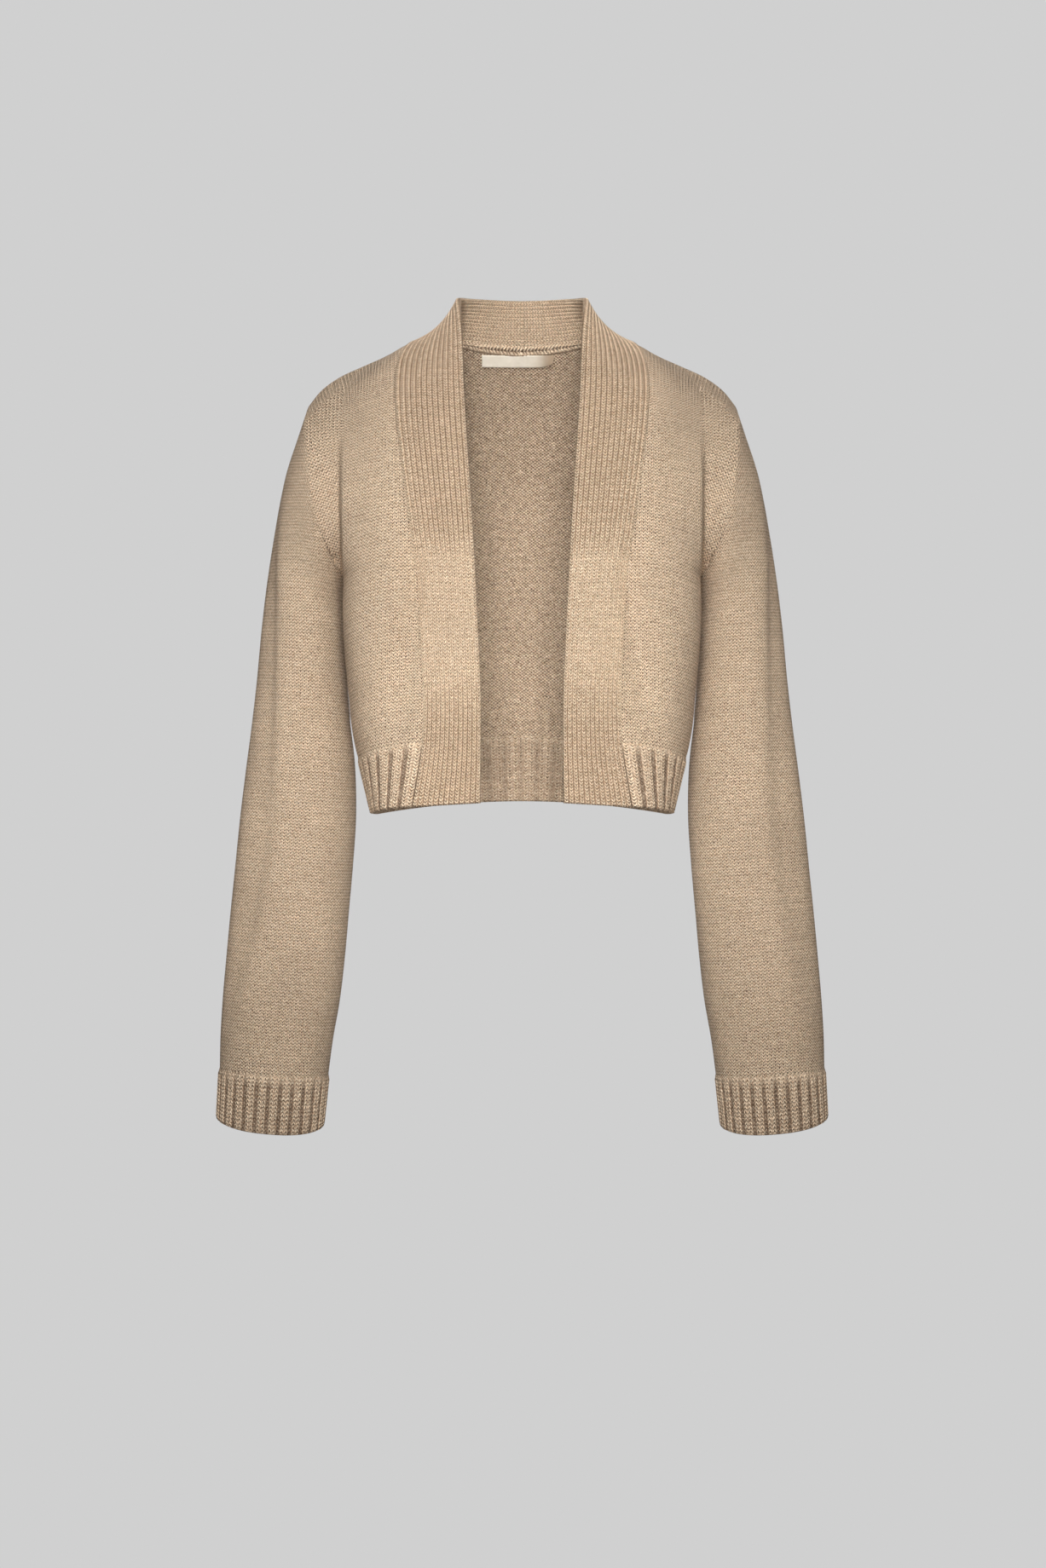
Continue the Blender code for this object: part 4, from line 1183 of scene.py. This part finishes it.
# The strength of each bump, and its height in metres.
FIBRE_BUMP = (0.5, 0.0005)
STITCH_BUMP = (1.0, 0.0012)
THREAD_BUMP = (0.25, 0.0002)

WOOL = {
    "Roughness": 0.88,
    "Specular IOR Level": 0.25,
    "Sheen Weight": 0.04,
    "Sheen Roughness": 0.5,
    "Sheen Tint": (1.0, 0.9, 0.78, 1),
}
SATIN = {"Roughness": 0.42, "Anisotropic": 0.4}


class Tree:
    """A node tree, with short ways to add the nodes that a knit needs."""

    def __init__(self, tree):
        self.tree = tree
        tree.nodes.clear()

    def add(self, kind, **settings):
        node = self.tree.nodes.new(kind)
        for name, value in settings.items():
            setattr(node, name, value)
        return node

    def put(self, socket, value):
        """Links a socket to an output, or sets it to a number, colour or vector."""
        if isinstance(value, bpy.types.NodeSocket):
            self.tree.links.new(value, socket)
        else:
            socket.default_value = value

    def filled(self, kind, values, **settings):
        """The first output of a new node whose first inputs take the values."""
        node = self.add(kind, **settings)
        for socket, value in zip(node.inputs, values):
            self.put(socket, value)
        return node.outputs[0]

    def math(self, operation, *values):
        return self.filled("ShaderNodeMath", values, operation=operation)

    def vector(self, operation, *values):
        return self.filled("ShaderNodeVectorMath", values, operation=operation)

    def mix(self, share, first, second, blend="MIX"):
        """A mix of two colours."""
        node = self.add("ShaderNodeMix", data_type="RGBA", blend_type=blend)
        self.put(node.inputs[0], share)
        self.put(node.inputs[6], first)
        self.put(node.inputs[7], second)
        return node.outputs[2]

    def blend(self, share, first, second):
        """A mix of two numbers."""
        node = self.add("ShaderNodeMix", data_type="FLOAT")
        self.put(node.inputs[0], share)
        self.put(node.inputs[2], first)
        self.put(node.inputs[3], second)
        return node.outputs[0]

    def span(self, value, low, high, new_low=0.0, new_high=1.0):
        """A number moved from one range to another, and kept in it."""
        return self.filled("ShaderNodeMapRange", (value, low, high, new_low, new_high))

    def swung(self, base, value, swing):
        """A base that a value from 0 to 1 moves by up to half the swing each way."""
        return self.math("MULTIPLY_ADD", value, swing, self.math("SUBTRACT", base, swing / 2))

    def cosine(self, value):
        """The cosine of a number of whole turns."""
        return self.math("COSINE", self.math("MULTIPLY", value, 2 * np.pi))

    def noise(self, at, kind):
        scale = kind.scale
        if isinstance(scale, tuple):
            at, scale = self.vector("MULTIPLY", at, scale), 1.0
        node = self.add("ShaderNodeTexNoise")
        for name, value in zip(("Vector", "Scale", "Detail", "Roughness"), (at, scale, *kind[1:])):
            self.put(node.inputs[name], value)
        return node.outputs[0]

    def attribute(self, name, output):
        return self.add("ShaderNodeAttribute", attribute_name=name).outputs[output]

    def bump(self, height, strength, distance, normal=None):
        """A normal that follows a height, over another normal if there is one."""
        node = self.add("ShaderNodeBump")
        node.inputs["Strength"].default_value = strength
        node.inputs["Distance"].default_value = distance
        self.put(node.inputs["Height"], height)
        if normal is not None:
            self.put(node.inputs["Normal"], normal)
        return node.outputs[0]

    def place(self, group, **values):
        """Places a node group, its inputs set or linked by name."""
        node = self.add("ShaderNodeGroup", node_tree=group)
        for name, value in values.items():
            self.put(node.inputs[name], value)
        return node.outputs


def node_group(name, inputs, outputs):
    """An empty group with the named sockets, its tree, and its input and output nodes."""
    group = bpy.data.node_groups.new(name, "ShaderNodeTree")
    for socket, kind, value in inputs:
        made = group.interface.new_socket(socket, in_out="INPUT", socket_type=f"NodeSocket{kind}")
        if value is not None:
            made.default_value = value
    for socket, kind in outputs:
        group.interface.new_socket(socket, in_out="OUTPUT", socket_type=f"NodeSocket{kind}")
    tree = Tree(group)
    given = tree.add("NodeGroupInput").outputs
    result = tree.add("NodeGroupOutput").inputs
    return group, tree, given, result


def face_pattern(tree, wale, course):
    """The height and painted shade of the face of plain knit: a V to each stitch, painted dark
    between one V and the next, most of all in its middle, with a thin painted dark line
    beside each wale."""
    across = tree.math("FRACT", wale)
    away = tree.math("ABSOLUTE", tree.math("MULTIPLY_ADD", across, 2.0, -1.0))
    along = tree.math("FRACT", tree.math("MULTIPLY_ADD", away, -V_RISE, course))
    strand = tree.math("SINE", tree.math("MULTIPLY", along, np.pi))
    gap = tree.math("POWER", tree.math("SUBTRACT", 1.0, strand), GAP_SHARPNESS)
    tick = tree.math("MULTIPLY", gap, tree.span(away, *GAP_PLACES, *GAP_DARKNESS))
    knots = tree.math("MULTIPLY_ADD", tree.cosine(course), -LINE_SWING, LINE_DARKNESS)
    line = tree.math("MULTIPLY", tree.span(away, LINE_FROM, 1.0), knots)
    dark = tree.math("ADD", tick, line)
    return tree.math("SUBTRACT", 1.0, dark), tree.math("SUBTRACT", FACE_SHADE, dark)


def purl_pattern(tree, wale, course):
    """The height and painted shade of the back of plain knit: small staggered loops, dark between
    them.
    """
    here = tree.math("MULTIPLY_ADD", tree.cosine(wale), 0.5, 0.5)
    loops = []
    for shift in (0.0, 0.5):
        loop = tree.cosine(tree.math("ADD", course, shift))
        loop = tree.math("MULTIPLY_ADD", loop, 0.5, 0.5)
        loops.append(tree.math("POWER", loop, LOOP_SHARPNESS))
    height = tree.blend(here, loops[1], loops[0])
    return height, tree.math("MULTIPLY_ADD", height, PURL_PALER, PURL_SHADE)


def plain_knit_group():
    """The height and painted shade of knit from its stitch numbers, whose third part is 0 on
    the face of the cloth and 1 on its back."""
    inputs = [("Stitches", "Vector", None)]
    outputs = [("Height", "Float"), ("Shade", "Float")]
    group, tree, given, result = node_group("knit stitches", inputs, outputs)
    parts = tree.add("ShaderNodeSeparateXYZ")
    tree.put(parts.inputs[0], given["Stitches"])
    wale, course, side = parts.outputs
    stray = tree.swung(0.0, tree.noise(given["Stitches"], STRAY_NOISE), STRAY)
    wale = tree.math("ADD", wale, tree.math("MULTIPLY", stray, STRAY_ACROSS))
    course = tree.math("ADD", course, stray)
    face_height, face_shade = face_pattern(tree, wale, course)
    back_height, back_shade = purl_pattern(tree, wale, course)
    tree.put(result["Height"], tree.blend(side, face_height, back_height))
    tree.put(result["Shade"], tree.math("MAXIMUM", tree.blend(side, face_shade, back_shade), 0.0))
    return group


def yarn_group():
    """The colour of the heathered yarn, with painted shade that mixes it toward a dark colour where it
    lies deep, and its loose fibres.
    """
    inputs = [
        ("Place", "Vector", None),
        ("Stitches", "Vector", None),
        ("Shade", "Float", 1.0),
        ("Deep", "Color", PLAIN_PAINTED_SHADE),
        ("Yarn", "Color", YARN_COLOUR),
        ("Pale", "Color", PALE_COLOUR),
    ]
    outputs = [("Color", "Color"), ("Fibres", "Float")]
    group, tree, given, result = node_group("heathered yarn", inputs, outputs)
    fibres = tree.noise(given["Place"], FIBRE_NOISE)
    strands = tree.noise(given["Stitches"], STRAND_NOISE)
    heather = tree.math("MULTIPLY", fibres, HEATHER_PART)
    heather = tree.math("MULTIPLY_ADD", strands, HEATHER_PART, heather)
    yarn = tree.mix(tree.span(heather, *HEATHER_SPAN), given["Yarn"], given["Pale"])
    patch = tree.math("MULTIPLY", tree.noise(given["Stitches"], COURSE_NOISE), PATCH_PART)
    broad = tree.noise(given["Place"], PATCH_NOISE)
    patch = tree.math("MULTIPLY_ADD", broad, PATCH_PART, patch)
    patch = tree.span(patch, *PATCH_SPAN, *PATCH_SHADES)
    tint = [tree.math("MULTIPLY", patch, share) for share in PATCH_TINT]
    yarn = tree.mix(1.0, yarn, tree.filled("ShaderNodeCombineColor", tint), blend="MULTIPLY")
    uneven = tree.span(tree.noise(given["Stitches"], UNEVEN_NOISE), *UNEVEN_SPAN)
    shade = tree.swung(given["Shade"], fibres, FIBRE_SHADE)
    shade = tree.span(tree.swung(shade, uneven, UNEVEN), 0.0, 1.0)
    # Painted shade: where the shade is low the yarn turns to the dark shade colour.
    tree.put(result["Color"], tree.mix(shade, given["Deep"], yarn))
    tree.put(result["Fibres"], fibres)
    return group


def new_material(name):
    material = bpy.data.materials.new(name)
    material.use_nodes = True
    return material, Tree(material.node_tree)


def add_shader(tree, settings, colour, normal):
    """The Principled shader of a material, and its output."""
    shader = tree.add("ShaderNodeBsdfPrincipled")
    for name, value in settings.items():
        shader.inputs[name].default_value = value
    tree.put(shader.inputs["Base Color"], colour)
    tree.put(shader.inputs["Normal"], normal)
    output = tree.add("ShaderNodeOutputMaterial")
    tree.put(output.inputs["Surface"], shader.outputs[0])


def knit_material(name, groups, deep, painted_shade_drop, stitch_drop):
    """Wool knit. The painted shade written on the mesh and that of the stitches darken it by
    so much toward the given shade colour, and the stitches are bumps."""
    material, tree = new_material(name)
    stitches = tree.attribute("stitches", "Vector")
    painted_shade = tree.attribute("painted_shade", "Fac")
    place = tree.add("ShaderNodeTexCoord").outputs["Object"]
    knit = tree.place(groups["knit"], Stitches=stitches)
    painted_shade = tree.span(painted_shade, 0.0, 1.0, 1 - painted_shade_drop, 1.0)
    shade = tree.math("MULTIPLY_ADD", knit["Shade"], stitch_drop, 1 - stitch_drop)
    shade = tree.math("MULTIPLY", shade, painted_shade)
    yarn = tree.place(groups["yarn"], Place=place, Stitches=stitches, Shade=shade, Deep=deep)
    fuzz = tree.bump(yarn["Fibres"], *FIBRE_BUMP)
    add_shader(tree, WOOL, yarn["Color"], tree.bump(knit["Height"], *STITCH_BUMP, fuzz))
    return material


def satin_material():
    """Cream woven satin, with painted shade where its curled end turns away."""
    material, tree = new_material("satin")
    place = tree.add("ShaderNodeTexCoord").outputs["Object"]
    threads = tree.noise(place, THREAD_NOISE)
    warmth = tree.math("MULTIPLY", threads, THREAD_PART)
    warmth = tree.math("MULTIPLY_ADD", tree.noise(place, CLOUD_NOISE), CLOUD_PART, warmth)
    colour = tree.mix(tree.span(warmth, *SATIN_SPAN), SATIN_DARK, SATIN_PALE)
    # Painted shade: the curled end is mixed toward a darker colour.
    turned = tree.mix(1.0, colour, SATIN_PAINTED_SHADE, blend="MULTIPLY")
    colour = tree.mix(tree.attribute("painted_shade", "Fac"), turned, colour)
    add_shader(tree, SATIN, colour, tree.bump(threads, *THREAD_BUMP))
    return material


def add_camera():
    data = bpy.data.cameras.new("camera")
    data.lens = CAMERA_LENS
    data.sensor_fit = "VERTICAL"
    data.sensor_height = CAMERA_SENSOR
    data.sensor_width = CAMERA_SENSOR
    data.clip_end = CAMERA_REACH
    camera = bpy.data.objects.new("camera", data)
    camera.location = CAMERA_PLACE
    camera.rotation_euler = (np.pi / 2, 0, 0)
    bpy.context.scene.collection.objects.link(camera)
    bpy.context.scene.camera = camera


def add_light(kind):
    """A light that is a row of the table."""
    data = bpy.data.lights.new(kind.name, "AREA")
    data.size = kind.size
    data.energy = kind.power
    data.spread = np.radians(kind.cone)
    light = bpy.data.objects.new(kind.name, data)
    light.location = kind.place
    way = Vector(kind.target) - Vector(kind.place)
    light.rotation_euler = way.to_track_quat("-Z", "Y").to_euler()
    bpy.context.scene.collection.objects.link(light)


def add_world():
    """Plain grey behind, and a weak warm light all round."""
    world = bpy.data.worlds.new("studio")
    bpy.context.scene.world = world
    world.use_nodes = True
    tree = Tree(world.node_tree)
    seen = tree.add("ShaderNodeBackground")
    seen.inputs[0].default_value = (BACKDROP_GREY, BACKDROP_GREY, BACKDROP_GREY, 1)
    around = tree.add("ShaderNodeBackground")
    around.inputs[0].default_value = AROUND_COLOUR
    around.inputs[1].default_value = AROUND_STRENGTH
    ray = tree.add("ShaderNodeLightPath").outputs["Is Camera Ray"]
    both = tree.filled("ShaderNodeMixShader", (ray, around.outputs[0], seen.outputs[0]))
    tree.put(tree.add("ShaderNodeOutputWorld").inputs[0], both)


def add_floor():
    bpy.ops.mesh.primitive_plane_add(size=1, location=(0, 0, FLOOR_HEIGHT))
    floor = bpy.context.object
    floor.name = "floor"
    floor.scale = FLOOR_SCALE
    material = bpy.data.materials.new("floor")
    material.use_nodes = True
    shader = material.node_tree.nodes["Principled BSDF"]
    shader.inputs["Base Color"].default_value = FLOOR_COLOUR
    shader.inputs["Roughness"].default_value = FLOOR_ROUGHNESS
    floor.data.materials.append(material)


# A record of what is knitted or cut for a piece, in metres: the rectangle round it when it
# lies flat, and its area.
Cut = namedtuple("Cut", "flat area")


def main():
    bpy.context.scene.view_settings.view_transform = "Standard"
    add_camera()
    add_world()
    add_floor()
    for light in LIGHTS:
        add_light(light)

    groups = {"knit": plain_knit_group(), "yarn": yarn_group()}
    plain = knit_material("plain knit", groups, PLAIN_PAINTED_SHADE, 1.0, 1.0)
    rib = knit_material("rib knit", groups, RIB_PAINTED_SHADE, 0.8, 0.6)
    band_rib = knit_material("band rib knit", groups, BAND_PAINTED_SHADE, 0.95, 0.75)

    front = front_grid()
    back = whole(back_grid())
    sleeve = sleeve_grid()
    seams = (KNITTED_EDGE, SEAM_EDGE, KNITTED_EDGE, SEAM_EDGE)
    front_wall = plain_wall(front, *front_stitches(front), seams)
    seams = (KNITTED_EDGE, SEAM_EDGE, SEAM_EDGE, SEAM_EDGE)
    back_wall = plain_wall(back, *back_stitches(back), seams)
    seams = (SEAM_EDGE, KNITTED_EDGE)
    sleeve_wall = plain_wall(sleeve, *sleeve_stitches(sleeve), seams, wrap=True)
    hem, hem_back = hem_walls(front, back)

    make_piece("back_knit", back_wall, plain, "back")
    make_piece("hem_back_rib", hem_back, rib, "hem_back")
    pairs = (
        ("front", front_wall, plain, "knit"),
        ("band", band_wall(), band_rib, "rib"),
        ("hem", hem, rib, "rib"),
        ("sleeve", sleeve_wall, plain, "knit"),
        ("cuff", cuff_wall(sleeve), rib, "rib"),
    )
    for part, wall, material, kind in pairs:
        for side in ("right", "left"):
            name = f"{part}_{side}_{kind}"
            make_piece(name, wall, material, f"{part}_{side}", mirror=side == "left")
    make_piece("neck_seam_chain", neck_seam_wall(back), rib, "neck_seam")
    make_piece("label_satin", label_wall(back), satin_material(), "label")


main()

bpy.context.view_layer.update()
